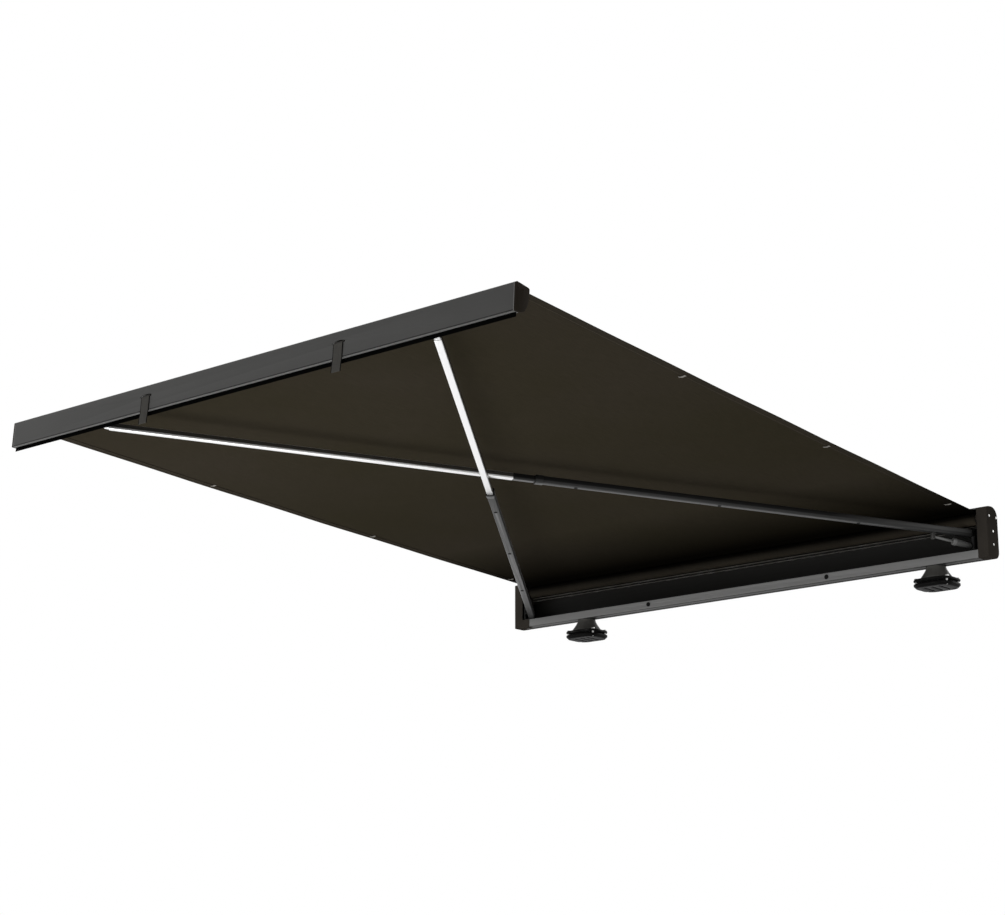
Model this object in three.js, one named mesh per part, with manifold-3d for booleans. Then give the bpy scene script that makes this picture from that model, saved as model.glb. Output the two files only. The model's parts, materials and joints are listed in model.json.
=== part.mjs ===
// Vehicle side awning: a long housing on two rack feet, a roller with its canopy, a lead rail
// and two crossing telescopic arms that swing out of the housing. All lengths are in millimetres.
// X runs along the housing, Y points to the vehicle and Z points up. The origin lies in the middle
// of the housing's flat back.
import * as THREE from 'three';
import { mergeVertices } from 'three/addons/utils/BufferGeometryUtils.js';
import Module from 'manifold-3d';

const wasm = await Module();
wasm.setup();

// Driving dimensions of the whole awning
const housingLength = 2130;
const housingHeight = 183;
const housingDepth = 76;
const reach = 2502.4;        // housing front plane to the top edge of the lead rail's face
const railTop = 332;         // underside of the housing to that same edge
const slideAngle = 3.571;    // degrees by which the canopy and the rail's path rise outward
const storedGap = 2;         // rail to housing when the awning is rolled in

// Clearances
const touchGap = 0.3;        // between pieces that are fastened together
const runGap = 0.08;         // radial, between a pin and what turns on it
const slideGap = 0.3;        // between a telescoping tube and the tube round it
const pivotGap = 1.6;        // between an arm's tip pin and its socket under the rail
const overrun = 5;           // by which a cutting body passes the wall it cuts

// Housing section
const wall = 2.6;
const lipHeight = 30;
const lipBead = 5;
const lipBeadDepth = 1.4;
const hoodFall = 6;
const noseHeight = 3.8;
const frontEdgeRadius = 2;
const topRadius = 36;
const bottomRadius = 26;
const ribHeights = [115.5, 125];
const ribDepths = [7.5, 11];
const ribThickness = 2.4;

// Slot for sliding nuts in the housing's underside
const slotOpening = 9;
const slotWidth = 18;
const slotDepth = 9.4;
const slotLip = 2.6;
const bottomSlotY = 37;

// End caps of the housing
const capDepth = 40;
const capWall = 3.2;
const capFace = 3.6;
const capBevel = 1.5;
const postRadius = 5;
const capScrewRadius = 2.5;
const capScrewHead = 4.5;
const capScrewHeadDepth = 2.4;
const capScrewSink = 0.4;

// Roller and the canopy wound on it
const rollerY = 42;
const rollerZ = 147;
const rollerRadius = 17.5;
const rollerWall = 1.6;
const rollerGroove = 3;
const woundThickness = 3.2;
const rollerEndGap = 6;
const bearingPlate = 5;
const bearingWidth = 60;
const bearingHeight = 24;
const bearingScrewPitch = 49;
const bearingSetback = 5.5;
const stubRadius = 5;
const stubLength = 20;
const plugFlange = 3;
const plugDepth = 28;

// Canopy
const canopyThickness = 1.2;
const canopyRollerInset = 56; // housing's end to the canopy's edge at the roller
const canopyRailInset = 16;   // and to that edge at the lead rail
const canopySag = 9;
const canopyRows = 16;
const canopyColumns = 6;
const beadRadius = 3.2;

// Lead rail section, measured from the top edge of its face
const railHeight = 83.5;
const railWall = 2.4;
const railCorner = 5;
const railReturn = 19;
const railReturnEdge = 4.5;
const webDrop = 24;
const rearWallY = 50;
const grooveZ = -10;
const grooveRadius = 4;
const grooveWall = 2;
const grooveSlit = 3.2;
const railCapPlate = 5;
const railCapPlug = 16;
const plugInset = 1.2;
const railCapScrewRadius = 1.6;
const railCapScrewHead = 3.4;
const railCapScrewYs = [10, 32];

// Straps, their slots in the rail's face and the studs on the housing's lip
const strapX = 412;
const strapWidth = 38;
const strapThickness = 1.8;
const strapSlotWidth = 50;
const strapSlotTop = 28.6;
const strapSlotHeight = 10;
const strapEnd = 125;
const strapSlotArch = 4;
const strapAnchor = 20;
const strapCurl = 3;
const studXs = [-392, 412];
const studHeight = 16;
const studRadius = 9;
const studProud = 4;
const studShank = 4;

// Arms, rolled out. A root pivot has its inset from the housing's end, and then its Y and Z there.
// A tip pin has its place in the rail's own axes.
const leftRootPlace = [79, 14, 45.5];
const rightRootPlace = [84, 56, 100.8];
const leftTipPlace = [760, 32.45, -80.13];
const rightTipPlace = [-647, 47.18, -75.21];
const outerSize = 25;
const outerWall = 1.6;
const outerCorner = 4;
const innerWall = 1.8;
const innerCorner = 3;
const leftOuterLength = 1645;
const rightOuterLength = 1598;
const leftOverlap = 263.8;   // length of the inner tube that stays in the outer one
const rightOverlap = 148.3;
const tongueLength = 58;
const tubeRootGap = 13;
const collarLength = 28;
const collarWall = 1.4;
const collarLip = 2;
const knuckleRadius = 12;
const knuckleHeight = 22;
const pivotPinRadius = 5;
const pinHeadRadius = 8;
const pinHeadHeight = 3;
const lugThickness = 3.6;
const lugRadius = 8.4;
const bracketPlate = 5.5;
const bracketWidth = 44;
const bracketSetback = 5.5;
const bracketScrewPitch = 47;
const bracketScrewY = 40;
const bracketScrewZ = 72;
const bracketMargin = 2;
const columnDrop = 57;
const columnRise = 14;
const columnRadius = 9.5;
const tipRadius = 8.6;
const tipHeight = 15;
const tipPinRadius = 5;
const tipSetback = 11;
const tipPlug = 30;
const tipShoulder = 3;
const socketFlange = 4;
const socketLength = 46;
const socketWidth = 20;
const socketDrop = 24;
const socketBossRadius = 10;
const socketScrewPitch = 34;
const socketScrewInset = 6;
const socketScrewRadius = 2;
const socketScrewHead = 3.6;
const buttonRadius = 4;
const buttonProud = 0.8;
const buttonPlaceShares = [0.2735, 0.5933, 0.9118];  // of the shorter outer tube

// Strut under the root of the right arm
const strutLugX = 156;
const strutLugLength = 12;
const strutLugDrop = 24;
const strutLugWidth = 12;
const strutRodRadius = 4.6;
const strutFrom = [158, -26.5];
const strutTo = [82, -36];
const barrelWideRadius = 12;
const barrelNarrowRadius = 9;
const barrelRing = 3;
const barrelRingPlaces = [3, 9];
const barrelRingProud = 1.2;

// Rack feet
const leftFootX = -724;
const rightFootX = 839;
const neckRadius = 35;
const neckHeight = 4;
const flareRadius = 58;
const flareEdge = 4;
const flareCurve = 1.3;      // 1 is a plain cone
const pedestalHeight = 46;
const pedestalRecess = 22;
const pedestalRecessDepth = 8;
const plateLength = 150;
const plateWidth = 130;
const plateCorner = 45;
const plateThickness = 8;
const plateBevel = 2;
const padThickness = 2;
const padMargin = 9;
const clampGap = 6;
const clampThickness = 14;
const clampBevel = 8;
const footBoltX = 60;
const footBoltY = 38;
const footBoltRadius = 4;
const boltHeadRadius = 7.2;
const boltHeadHeight = 5;
const nutHeight = 6;
const boltEndInset = 1;
const hexSides = 6;
const clampSlotWidth = 8;
const clampSlotLength = 76;
const clampSlotPitch = 30;
const clampSlotCount = 3;
const slotNutLength = 34;
const slotNutClearance = 0.5;
const slotNutRadius = 8;

// Counts of facets
const arcSteps = 3;
const flareSteps = 6;
const roundSteps = 20;
const smallSteps = 8;

// Materials
const blackCoat = { color: 0x1b1b1a, roughness: 0.55, metalness: 0.3 };
const greyCoat = { color: 0x4a4a49, roughness: 0.5, metalness: 0.4 };
const silver = { color: 0xb9bbbd, roughness: 0.35, metalness: 0.85 };
const greyTube = { color: 0x6d6f70, roughness: 0.45, metalness: 0.6 };
const blackPlastic = { color: 0x101010, roughness: 0.6, metalness: 0 };
const steel = { color: 0x9a9c9e, roughness: 0.35, metalness: 0.9 };
const cloth = { color: 0x2c2822, roughness: 0.95, metalness: 0 };
const webbing = { color: 0x2a2a2a, roughness: 0.9, metalness: 0 };
const rubber = { color: 0x141414, roughness: 0.9, metalness: 0 };

// Helper functions for shapes, placing and cutting

const slideRadians = THREE.MathUtils.degToRad(slideAngle);
const alongX = new THREE.Matrix4().makeBasis(
  new THREE.Vector3(0, 1, 0), new THREE.Vector3(0, 0, 1), new THREE.Vector3(1, 0, 0));

/** Closed prism of a shape drawn in (Y, Z), from one X to another. */
function prismX(shape, fromX, toX, options = {}) {
  const geometry = new THREE.ExtrudeGeometry(shape, {
    depth: toX - fromX, bevelEnabled: false, curveSegments: arcSteps, ...options,
  });
  return geometry.applyMatrix4(alongX).translate(fromX, 0, 0);
}

/** Closed prism of a shape drawn in (X, Y), from one Z to another. */
function prismZ(shape, fromZ, toZ, options = {}) {
  const geometry = new THREE.ExtrudeGeometry(shape, {
    depth: toZ - fromZ, bevelEnabled: false, curveSegments: arcSteps, ...options,
  });
  return geometry.translate(0, 0, fromZ);
}

/** Closed prism of a shape drawn in (X, Z), from one Y to another. */
function prismY(shape, fromY, toY, options = {}) {
  const geometry = new THREE.ExtrudeGeometry(shape, {
    depth: toY - fromY, bevelEnabled: false, curveSegments: arcSteps, ...options,
  });
  return geometry.rotateX(Math.PI / 2).translate(0, toY, 0);
}

/** Rectangle with round corners about a centre, as a shape. */
function roundedRectangle(width, height, radius, centreX = 0, centreY = 0) {
  const left = centreX - width / 2;
  const right = centreX + width / 2;
  const low = centreY - height / 2;
  const high = centreY + height / 2;
  const shape = new THREE.Shape();
  shape.moveTo(left + radius, low);
  shape.lineTo(right - radius, low);
  shape.absarc(right - radius, low + radius, radius, -Math.PI / 2, 0);
  shape.lineTo(right, high - radius);
  shape.absarc(right - radius, high - radius, radius, 0, Math.PI / 2);
  shape.lineTo(left + radius, high);
  shape.absarc(left + radius, high - radius, radius, Math.PI / 2, Math.PI);
  shape.lineTo(left, low + radius);
  shape.absarc(left + radius, low + radius, radius, Math.PI, Math.PI * 1.5);
  return shape;
}

/** Closed polygon through the given points. */
function polygon(points) {
  return new THREE.Shape(points.map(([x, y]) => new THREE.Vector2(x, y)));
}

/** Box between two corners. */
function boxBetween(low, high) {
  const size = high.map((value, axis) => value - low[axis]);
  const centre = high.map((value, axis) => (value + low[axis]) / 2);
  return new THREE.BoxGeometry(...size).translate(...centre);
}

/** Cylinder between two points. */
function rod(from, to, radius, steps = smallSteps, endRadius = radius) {
  const start = new THREE.Vector3(...from);
  const end = new THREE.Vector3(...to);
  const direction = end.clone().sub(start);
  const turn = new THREE.Quaternion().setFromUnitVectors(
    new THREE.Vector3(0, 1, 0), direction.clone().normalize());
  const middle = start.clone().add(end).multiplyScalar(0.5);
  return new THREE.CylinderGeometry(endRadius, radius, direction.length(), steps)
    .applyQuaternion(turn).translate(middle.x, middle.y, middle.z);
}

/** Revolved solid about Z from a list of [radius, height] that starts and ends on the axis. */
function turned(points, steps = roundSteps) {
  const profile = points.map(([radius, height]) => new THREE.Vector2(radius, height));
  return new THREE.LatheGeometry(profile, steps).rotateX(Math.PI / 2);
}

/** Solid for joining and cutting, from a closed geometry. */
function solidOf(geometry) {
  const bare = geometry.clone();
  bare.deleteAttribute('normal');
  bare.deleteAttribute('uv');
  const merged = mergeVertices(bare, 1e-4);
  return new wasm.Manifold(new wasm.Mesh({
    numProp: 3,
    vertProperties: new Float32Array(merged.attributes.position.array),
    triVerts: new Uint32Array(merged.index.array),
  }));
}

/** Geometry of a solid. */
function geometryOf(solid) {
  const faces = solid.getMesh();
  const geometry = new THREE.BufferGeometry();
  geometry.setAttribute('position', new THREE.BufferAttribute(new Float32Array(faces.vertProperties), 3));
  geometry.setIndex(new THREE.BufferAttribute(new Uint32Array(faces.triVerts), 1));
  geometry.computeVertexNormals();
  return geometry;
}

/** First geometry joined with the others. */
function join(first, ...others) {
  return geometryOf(others.reduce((solid, other) => solid.add(solidOf(other)), solidOf(first)));
}

/** First geometry with the others cut away. */
function cut(first, ...others) {
  return geometryOf(others.reduce((solid, other) => solid.subtract(solidOf(other)), solidOf(first)));
}

/** One named piece. */
function piece(name, geometry, look) {
  const mesh = new THREE.Mesh(geometry, new THREE.MeshStandardMaterial(look));
  mesh.name = name;
  return mesh;
}

// Housing

const halfLength = housingLength / 2;
const profileEnd = halfLength - capDepth;
const bearingX = profileEnd - bearingSetback;
const bracketX = profileEnd - bracketSetback;
const canopyHalfAtRoller = halfLength - canopyRollerInset;
const canopyHalfAtRail = halfLength - canopyRailInset;

/** Outline of the housing in (Y, Z), drawn in by a given inset. */
function housingOutline(inset) {
  const front = inset;
  const back = housingDepth - inset;
  const low = inset;
  const high = housingHeight - inset;
  const topR = topRadius - inset;
  const bottomR = bottomRadius - inset;
  const shape = new THREE.Shape();
  shape.moveTo(front + frontEdgeRadius, low);
  shape.lineTo(back - bottomR, low);
  shape.absarc(back - bottomR, low + bottomR, bottomR, -Math.PI / 2, 0);
  shape.lineTo(back, high - topR);
  shape.absarc(back - topR, high - topR, topR, 0, Math.PI / 2);
  shape.quadraticCurveTo((back - topR + front) / 2, high, front, high - hoodFall);
  shape.lineTo(front, low + frontEdgeRadius);
  shape.absarc(front + frontEdgeRadius, low + frontEdgeRadius, frontEdgeRadius, Math.PI, Math.PI * 1.5);
  return shape;
}

const overBottomSlot = ([across, inward]) => [bottomSlotY + across, inward];

/** Section of the slot for sliding nuts: a narrow mouth in the underside and a wide chamber above it. */
function slotSection() {
  const mouth = slotOpening / 2;
  const chamber = slotWidth / 2;
  return polygon([
    [-mouth, -overrun], [mouth, -overrun], [mouth, slotLip], [chamber, slotLip],
    [chamber, slotDepth], [-chamber, slotDepth], [-chamber, slotLip], [-mouth, slotLip],
  ].map(overBottomSlot));
}

/** Walls round the slot, inside the housing. */
function slotWalls() {
  const half = slotWidth / 2 + wall;
  const top = slotDepth + wall;
  const start = wall / 2;
  return polygon([[-half, start], [half, start], [half, top], [-half, top]].map(overBottomSlot));
}

function housingProfile() {
  const from = -profileEnd + touchGap;
  const to = profileEnd - touchGap;
  const cutFrom = from - overrun;
  const cutTo = to + overrun;
  const noseZ = housingHeight - hoodFall - noseHeight;
  const front = boxBetween([cutFrom, -overrun, lipHeight], [cutTo, wall + overrun, noseZ]);
  const ribs = ribHeights.map((height, index) => boxBetween(
    [from, housingDepth - wall - ribDepths[index], height],
    [to, housingDepth - wall / 2, height + ribThickness]));
  const bead = boxBetween([from, wall / 2, lipHeight - lipBead], [to, wall + lipBeadDepth, lipHeight]);
  const shell = cut(prismX(housingOutline(0), from, to), prismX(housingOutline(wall), cutFrom, cutTo), front);
  const walled = join(shell, ...ribs, bead, prismX(slotWalls(), from, to));
  const slotted = cut(walled, prismX(slotSection(), cutFrom, cutTo));
  const holes = studXs.map(
    (x) => rod([x, -overrun, studHeight], [x, wall + overrun, studHeight], studShank + touchGap));
  return cut(slotted, ...holes);
}

/** Places of the screws through an end cap, as [Y, Z, X where the screw's plate starts]. */
const capScrewPlaces = [
  [rollerY - bearingScrewPitch / 2, rollerZ, bearingX],
  [rollerY + bearingScrewPitch / 2, rollerZ, bearingX],
  [bracketScrewY, bracketScrewZ - bracketScrewPitch / 2, bracketX],
  [bracketScrewY, bracketScrewZ + bracketScrewPitch / 2, bracketX],
];

function housingCap(side) {
  const bevel = {
    bevelEnabled: true,
    bevelThickness: capBevel,
    bevelSize: capBevel,
    bevelOffset: -capBevel,
    bevelSegments: 1,
  };
  const block = prismX(housingOutline(0), profileEnd, halfLength - capBevel, bevel);
  const inner = boxBetween(
    [profileEnd - overrun, -overrun, -overrun],
    [profileEnd, housingDepth + overrun, housingHeight + overrun]);
  const cavity = prismX(housingOutline(capWall), profileEnd - overrun, halfLength - capFace);
  const posts = capScrewPlaces.map(([y, z, plateX]) => rod(
    [plateX + touchGap, y, z], [halfLength - capFace / 2, y, z], postRadius));
  const bores = capScrewPlaces.flatMap(([y, z, plateX]) => [
    rod([plateX - overrun, y, z], [halfLength + overrun, y, z], capScrewRadius + touchGap),
    rod([halfLength - capScrewHeadDepth - capScrewSink, y, z], [halfLength + overrun, y, z],
      capScrewHead + touchGap),
  ]);
  const cap = cut(join(cut(block, inner, cavity), ...posts), ...bores);
  return side > 0 ? cap : mirroredX(cap);
}

/** Geometry reflected through the plane X = 0, still facing out. */
function mirroredX(geometry) {
  const flat = geometry.index ? geometry.toNonIndexed() : geometry.clone();
  flat.scale(-1, 1, 1);
  const places = flat.attributes.position.array;
  for (let start = 0; start < places.length; start += 9) {
    for (let axis = 0; axis < 3; axis += 1) {
      const kept = places[start + 3 + axis];
      places[start + 3 + axis] = places[start + 6 + axis];
      places[start + 6 + axis] = kept;
    }
  }
  flat.computeVertexNormals();
  return flat;
}

/** Screws that pass through the right end cap and hold a plate behind its posts. */
function capScrews(places) {
  const head = halfLength - capScrewSink;
  return places.map(([y, z, plateX]) => join(
    rod([plateX - bearingPlate / 2, y, z], [head, y, z], capScrewRadius),
    rod([head - capScrewHeadDepth + touchGap, y, z], [head, y, z], capScrewHead)));
}

// Roller

const woundRadius = rollerRadius + touchGap + woundThickness;
const rollerHalf = bearingX - bearingPlate - rollerEndGap - plugFlange;

function rollerBearing(side) {
  const plate = prismX(
    roundedRectangle(bearingWidth, bearingHeight, bearingHeight / 2, rollerY, rollerZ),
    bearingX - bearingPlate, bearingX);
  const stub = rod(
    [bearingX - bearingPlate / 2, rollerY, rollerZ], [bearingX - bearingPlate - stubLength, rollerY, rollerZ],
    stubRadius, roundSteps);
  const shoulder = rod(
    [bearingX - bearingPlate / 2, rollerY, rollerZ],
    [bearingX - bearingPlate - rollerEndGap + touchGap, rollerY, rollerZ], stubRadius * 2, roundSteps);
  const bearing = join(plate, stub, shoulder, ...capScrews(capScrewPlaces.slice(0, 2)));
  return side > 0 ? bearing : mirroredX(bearing);
}

function rollerTube() {
  const ring = new THREE.Shape().absarc(0, 0, rollerRadius, 0, Math.PI * 2);
  ring.holes.push(new THREE.Path().absarc(0, 0, rollerRadius - rollerWall, 0, Math.PI * 2));
  const tube = prismX(ring, -rollerHalf, rollerHalf, { curveSegments: roundSteps / 2 });
  const groove = boxBetween(
    [-rollerHalf - overrun, -rollerGroove / 2, -rollerRadius - overrun],
    [rollerHalf + overrun, rollerGroove / 2, -rollerRadius + rollerWall + overrun]);
  return cut(tube, groove).translate(0, rollerY, rollerZ);
}

function woundCanopy() {
  const ring = new THREE.Shape().absarc(0, 0, woundRadius, 0, Math.PI * 2);
  ring.holes.push(new THREE.Path().absarc(0, 0, rollerRadius + touchGap, 0, Math.PI * 2));
  return prismX(ring, -canopyHalfAtRoller + plugFlange, canopyHalfAtRoller - plugFlange,
    { curveSegments: roundSteps / 2 }).translate(0, rollerY, rollerZ);
}

function rollerPlug(side) {
  const bore = stubRadius + runGap;
  const inside = rollerRadius - rollerWall - touchGap;
  const flangeStart = rollerHalf + touchGap;
  const plug = turned([
    [bore, rollerHalf - plugDepth], [inside, rollerHalf - plugDepth], [inside, flangeStart],
    [rollerRadius, flangeStart], [rollerRadius, flangeStart + plugFlange - touchGap],
    [bore, flangeStart + plugFlange - touchGap], [bore, rollerHalf - plugDepth],
  ]).rotateY(Math.PI / 2).translate(0, rollerY, rollerZ);
  return side > 0 ? plug : mirroredX(plug);
}

// Lead rail, drawn from the top edge of its face: Y runs back to the housing and Z up

const railFrame = new THREE.Matrix4().makeRotationX(-slideRadians).setPosition(0, -reach, railTop);
const railHalf = halfLength - railCapPlate - touchGap;
const webZ = -webDrop - railWall;

/** Section of the rail: a box beam behind the top of the face, and a channel open behind and below. */
function railSection() {
  const grooveY = rearWallY;
  const outer = grooveRadius + grooveWall;
  const slitOuter = Math.asin(grooveSlit / 2 / outer);
  const slitInner = Math.asin(grooveSlit / 2 / grooveRadius);
  const returnTop = -railHeight + railReturnEdge;
  const shape = new THREE.Shape();
  shape.moveTo(0, -railHeight + railWall);
  shape.lineTo(0, -railCorner);
  shape.absarc(railCorner, -railCorner, railCorner, Math.PI, Math.PI / 2, true);
  shape.quadraticCurveTo(grooveY / 2, -railWall / 2, grooveY, grooveZ + outer);
  shape.absarc(grooveY, grooveZ, outer, Math.PI / 2, slitOuter, true);
  shape.absarc(grooveY, grooveZ, grooveRadius, slitInner, Math.PI * 2 - slitInner, false);
  shape.absarc(grooveY, grooveZ, outer, -slitOuter, -Math.PI / 2, true);
  shape.lineTo(grooveY, webZ);
  shape.lineTo(railWall, webZ);
  shape.lineTo(railWall, -railHeight + railWall);
  shape.lineTo(railReturn - railWall, -railHeight + railWall);
  shape.lineTo(railReturn - railWall, returnTop);
  shape.lineTo(railReturn, returnTop);
  shape.lineTo(railReturn, -railHeight);
  shape.lineTo(railWall, -railHeight);
  const chamberTop = grooveZ + grooveRadius;
  const chamber = new THREE.Path([
    new THREE.Vector2(railWall, -webDrop),
    new THREE.Vector2(grooveY - railWall, -webDrop),
    new THREE.Vector2(grooveY - railWall, grooveZ - outer - railWall / 2),
    new THREE.Vector2(grooveY - outer - railWall / 2, grooveZ - railWall / 2),
    new THREE.Vector2(grooveY - outer - railWall, chamberTop),
    new THREE.Vector2(railCorner, -railWall - railWall / 2),
    new THREE.Vector2(railWall, -railCorner),
  ]);
  shape.holes.push(chamber);
  return shape;
}

/** Slot in the rail's face for a strap, with an arched top. */
function strapSlot(centreX) {
  const half = strapSlotWidth / 2;
  const shape = new THREE.Shape();
  shape.moveTo(-half, -strapSlotTop - strapSlotHeight);
  shape.lineTo(half, -strapSlotTop - strapSlotHeight);
  shape.lineTo(half, -strapSlotTop - strapSlotArch);
  shape.quadraticCurveTo(0, -strapSlotTop + strapSlotArch, -half, -strapSlotTop - strapSlotArch);
  return prismY(shape, -overrun, railWall + overrun).translate(centreX, 0, 0);
}

/** Places of the screws of an arm socket, in the rail's own axes. */
function socketScrewPlaces([tipX, tipY]) {
  const screwY = Math.min(tipY, rearWallY - railWall - socketScrewInset);
  return [-1, 1].map((side) => [tipX + side * socketScrewPitch / 2, screwY]);
}

function railProfile() {
  const beam = prismX(railSection(), -railHalf, railHalf);
  return cut(beam, ...[-strapX, strapX].map(strapSlot));
}

function railCap(side) {
  const outer = grooveRadius + grooveWall;
  const shape = new THREE.Shape();
  shape.moveTo(0, -railHeight);
  shape.lineTo(0, -railCorner);
  shape.absarc(railCorner, -railCorner, railCorner, Math.PI, Math.PI / 2, true);
  shape.quadraticCurveTo(rearWallY / 2, -railWall / 2, rearWallY, grooveZ + outer);
  shape.absarc(rearWallY, grooveZ, outer, Math.PI / 2, 0, true);
  shape.lineTo(rearWallY + outer, webZ);
  shape.quadraticCurveTo(rearWallY, -railHeight, railReturn, -railHeight);
  const plate = prismX(shape, halfLength - railCapPlate, halfLength);
  const plugLow = -webDrop + plugInset;
  const plugHigh = grooveZ + plugInset;
  const plug = boxBetween(
    [halfLength - railCapPlate - railCapPlug, railWall + plugInset, plugLow],
    [halfLength - railCapPlate / 2, rearWallY - outer - railWall - plugInset, plugHigh]);
  const screws = railCapScrewYs.map((y) => rod(
    [halfLength - railCapPlate / 2, y, (plugLow + plugHigh) / 2],
    [halfLength + railCapScrewHead / 2, y, (plugLow + plugHigh) / 2],
    railCapScrewHead, smallSteps, railCapScrewRadius));
  const cap = join(plate, plug, ...screws);
  return side > 0 ? cap : mirroredX(cap);
}

/** Flat band that follows a path in (Y, Z), as a closed solid of the strap's width. */
function strap(centreX) {
  const half = strapThickness / 2;
  const stand = half + touchGap;
  const sill = -strapSlotTop - strapSlotHeight;
  const underWeb = webZ - stand;
  const path = [
    [railWall + strapAnchor, underWeb],
    [railWall + strapAnchor / 2, underWeb],
    [railWall, sill + stand],
    [0, sill + stand],
    [-stand * Math.SQRT1_2, sill + stand * Math.SQRT1_2],
    [-stand, sill],
    [-stand, -railHeight],
    [-stand - strapCurl / 2, -(railHeight + strapEnd) / 2],
    [-stand - strapCurl, -strapEnd],
  ].map(([y, z]) => new THREE.Vector2(y, z));
  const normals = path.map((point, index) => {
    const before = path[Math.max(index - 1, 0)];
    const after = path[Math.min(index + 1, path.length - 1)];
    const run = after.clone().sub(before).normalize();
    return new THREE.Vector2(-run.y, run.x);
  });
  const near = path.map((point, index) => point.clone().addScaledVector(normals[index], half));
  const far = path.map((point, index) => point.clone().addScaledVector(normals[index], -half));
  const band = new THREE.Shape([...near, ...far.reverse()]);
  return prismX(band, centreX - strapWidth / 2, centreX + strapWidth / 2);
}

/** Round stud through the housing's lip, where a strap hooks on when the awning is rolled in. */
function lipStud(x) {
  const face = -touchGap;
  return join(
    rod([x, face, studHeight], [x, face - studProud, studHeight],
      studRadius, roundSteps, studRadius - studProud / 2),
    rod([x, face - studProud / 2, studHeight], [x, wall + studProud, studHeight], studShank),
    rod([x, wall + touchGap, studHeight], [x, wall + studProud, studHeight], studShank + studProud));
}

// Canopy

function canopy() {
  const start = new THREE.Vector2(rollerY, rollerZ + woundRadius + touchGap + canopyThickness / 2);
  const groove = new THREE.Vector3(0, rearWallY, grooveZ).applyMatrix4(railFrame);
  const end = new THREE.Vector2(groove.y, groove.z);
  const vertices = [];
  const faces = [];
  const columns = canopyColumns + 1;
  const layer = (canopyRows + 1) * columns;
  [canopyThickness / 2, -canopyThickness / 2].forEach((offset) => {
    for (let row = 0; row <= canopyRows; row += 1) {
      const share = row / canopyRows;
      const middle = start.clone().lerp(end, share);
      const drop = 4 * canopySag * share * (1 - share);
      const half = THREE.MathUtils.lerp(canopyHalfAtRoller, canopyHalfAtRail, share);
      for (let column = 0; column < columns; column += 1) {
        vertices.push(half * (2 * column / canopyColumns - 1), middle.x, middle.y - drop + offset);
      }
    }
  });
  const at = (side, row, column) => side * layer + row * columns + column;
  const quad = (a, b, c, d) => faces.push(a, b, c, a, c, d);
  for (let row = 0; row < canopyRows; row += 1) {
    for (let column = 0; column < canopyColumns; column += 1) {
      quad(at(0, row, column), at(0, row + 1, column), at(0, row + 1, column + 1), at(0, row, column + 1));
      quad(at(1, row, column), at(1, row, column + 1), at(1, row + 1, column + 1), at(1, row + 1, column));
    }
    quad(at(0, row, 0), at(1, row, 0), at(1, row + 1, 0), at(0, row + 1, 0));
    quad(at(0, row, canopyColumns), at(0, row + 1, canopyColumns),
      at(1, row + 1, canopyColumns), at(1, row, canopyColumns));
  }
  for (let column = 0; column < canopyColumns; column += 1) {
    quad(at(0, 0, column), at(0, 0, column + 1), at(1, 0, column + 1), at(1, 0, column));
    quad(at(0, canopyRows, column), at(1, canopyRows, column),
      at(1, canopyRows, column + 1), at(0, canopyRows, column + 1));
  }
  const sheet = new THREE.BufferGeometry();
  sheet.setAttribute('position', new THREE.Float32BufferAttribute(vertices, 3));
  sheet.setIndex(faces);
  const bead = rod(
    [-canopyHalfAtRail, groove.y, groove.z], [canopyHalfAtRail, groove.y, groove.z], beadRadius);
  return join(sheet, bead);
}

// Arms: each is drawn along X from its root pivot, with Z along the axis that it swings about

const railRear = new THREE.Vector3(0, rearWallY + grooveRadius + grooveWall, grooveZ);
const railBack = railRear.applyMatrix4(railFrame).y;
const travel = (-storedGap - railBack) / Math.cos(slideRadians);
const slideBack = new THREE.Vector3(0, Math.cos(slideRadians), -Math.sin(slideRadians));
const innerSize = outerSize - 2 * (outerWall + slideGap);

/** Frame and lengths of the arm on one side, from its root pivot to its tip pin. */
function armFrame(side, [rootInset, rootY, rootZ], tip) {
  const start = new THREE.Vector3(side * (halfLength - rootInset), rootY, rootZ);
  const end = new THREE.Vector3(...tip).applyMatrix4(railFrame);
  const stored = end.clone().addScaledVector(slideBack, travel);
  const out = end.clone().sub(start).normalize();
  const along = stored.clone().sub(start).normalize();
  const axis = along.clone().cross(out).normalize();
  if (axis.z < 0) axis.negate();
  const sideways = axis.clone().cross(out);
  const matrix = new THREE.Matrix4().makeBasis(out, sideways, axis).setPosition(start);
  return { side, tip, matrix, length: end.distanceTo(start), axis, root: start };
}

/** Square tube along X with round corners. */
function squareTube(size, thickness, radius, from, to) {
  const shape = roundedRectangle(size, size, radius);
  const inside = size - 2 * thickness;
  shape.holes.push(roundedRectangle(inside, inside, radius - thickness));
  return prismX(shape, from, to);
}

const left = {
  ...armFrame(-1, leftRootPlace, leftTipPlace),
  outerLength: leftOuterLength,
  overlap: leftOverlap,
  rise: knuckleHeight / 2,
  drop: knuckleHeight / 2,
  hubRadius: knuckleRadius,
};
const right = {
  ...armFrame(1, rightRootPlace, rightTipPlace),
  outerLength: rightOuterLength,
  overlap: rightOverlap,
  rise: columnRise,
  drop: columnDrop,
  hubRadius: columnRadius,
};

/** Root fitting of an arm: a hub round the pivot pin and a tongue in the tube. */
function knuckle(arm) {
  const tongueSize = outerSize - 2 * (outerWall + touchGap);
  const hub = rod([0, 0, -arm.drop], [0, 0, arm.rise], arm.hubRadius, roundSteps);
  const tongue = prismX(roundedRectangle(tongueSize, tongueSize, innerCorner), 0, tongueLength);
  const shoulder = prismX(
    roundedRectangle(outerSize, outerSize, outerCorner), lugRadius + touchGap, tubeRootGap - touchGap);
  const bore = rod(
    [0, 0, -arm.drop - overrun], [0, 0, arm.rise + overrun], pivotPinRadius + runGap, roundSteps);
  return cut(join(hub, tongue, shoulder), bore);
}

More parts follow.
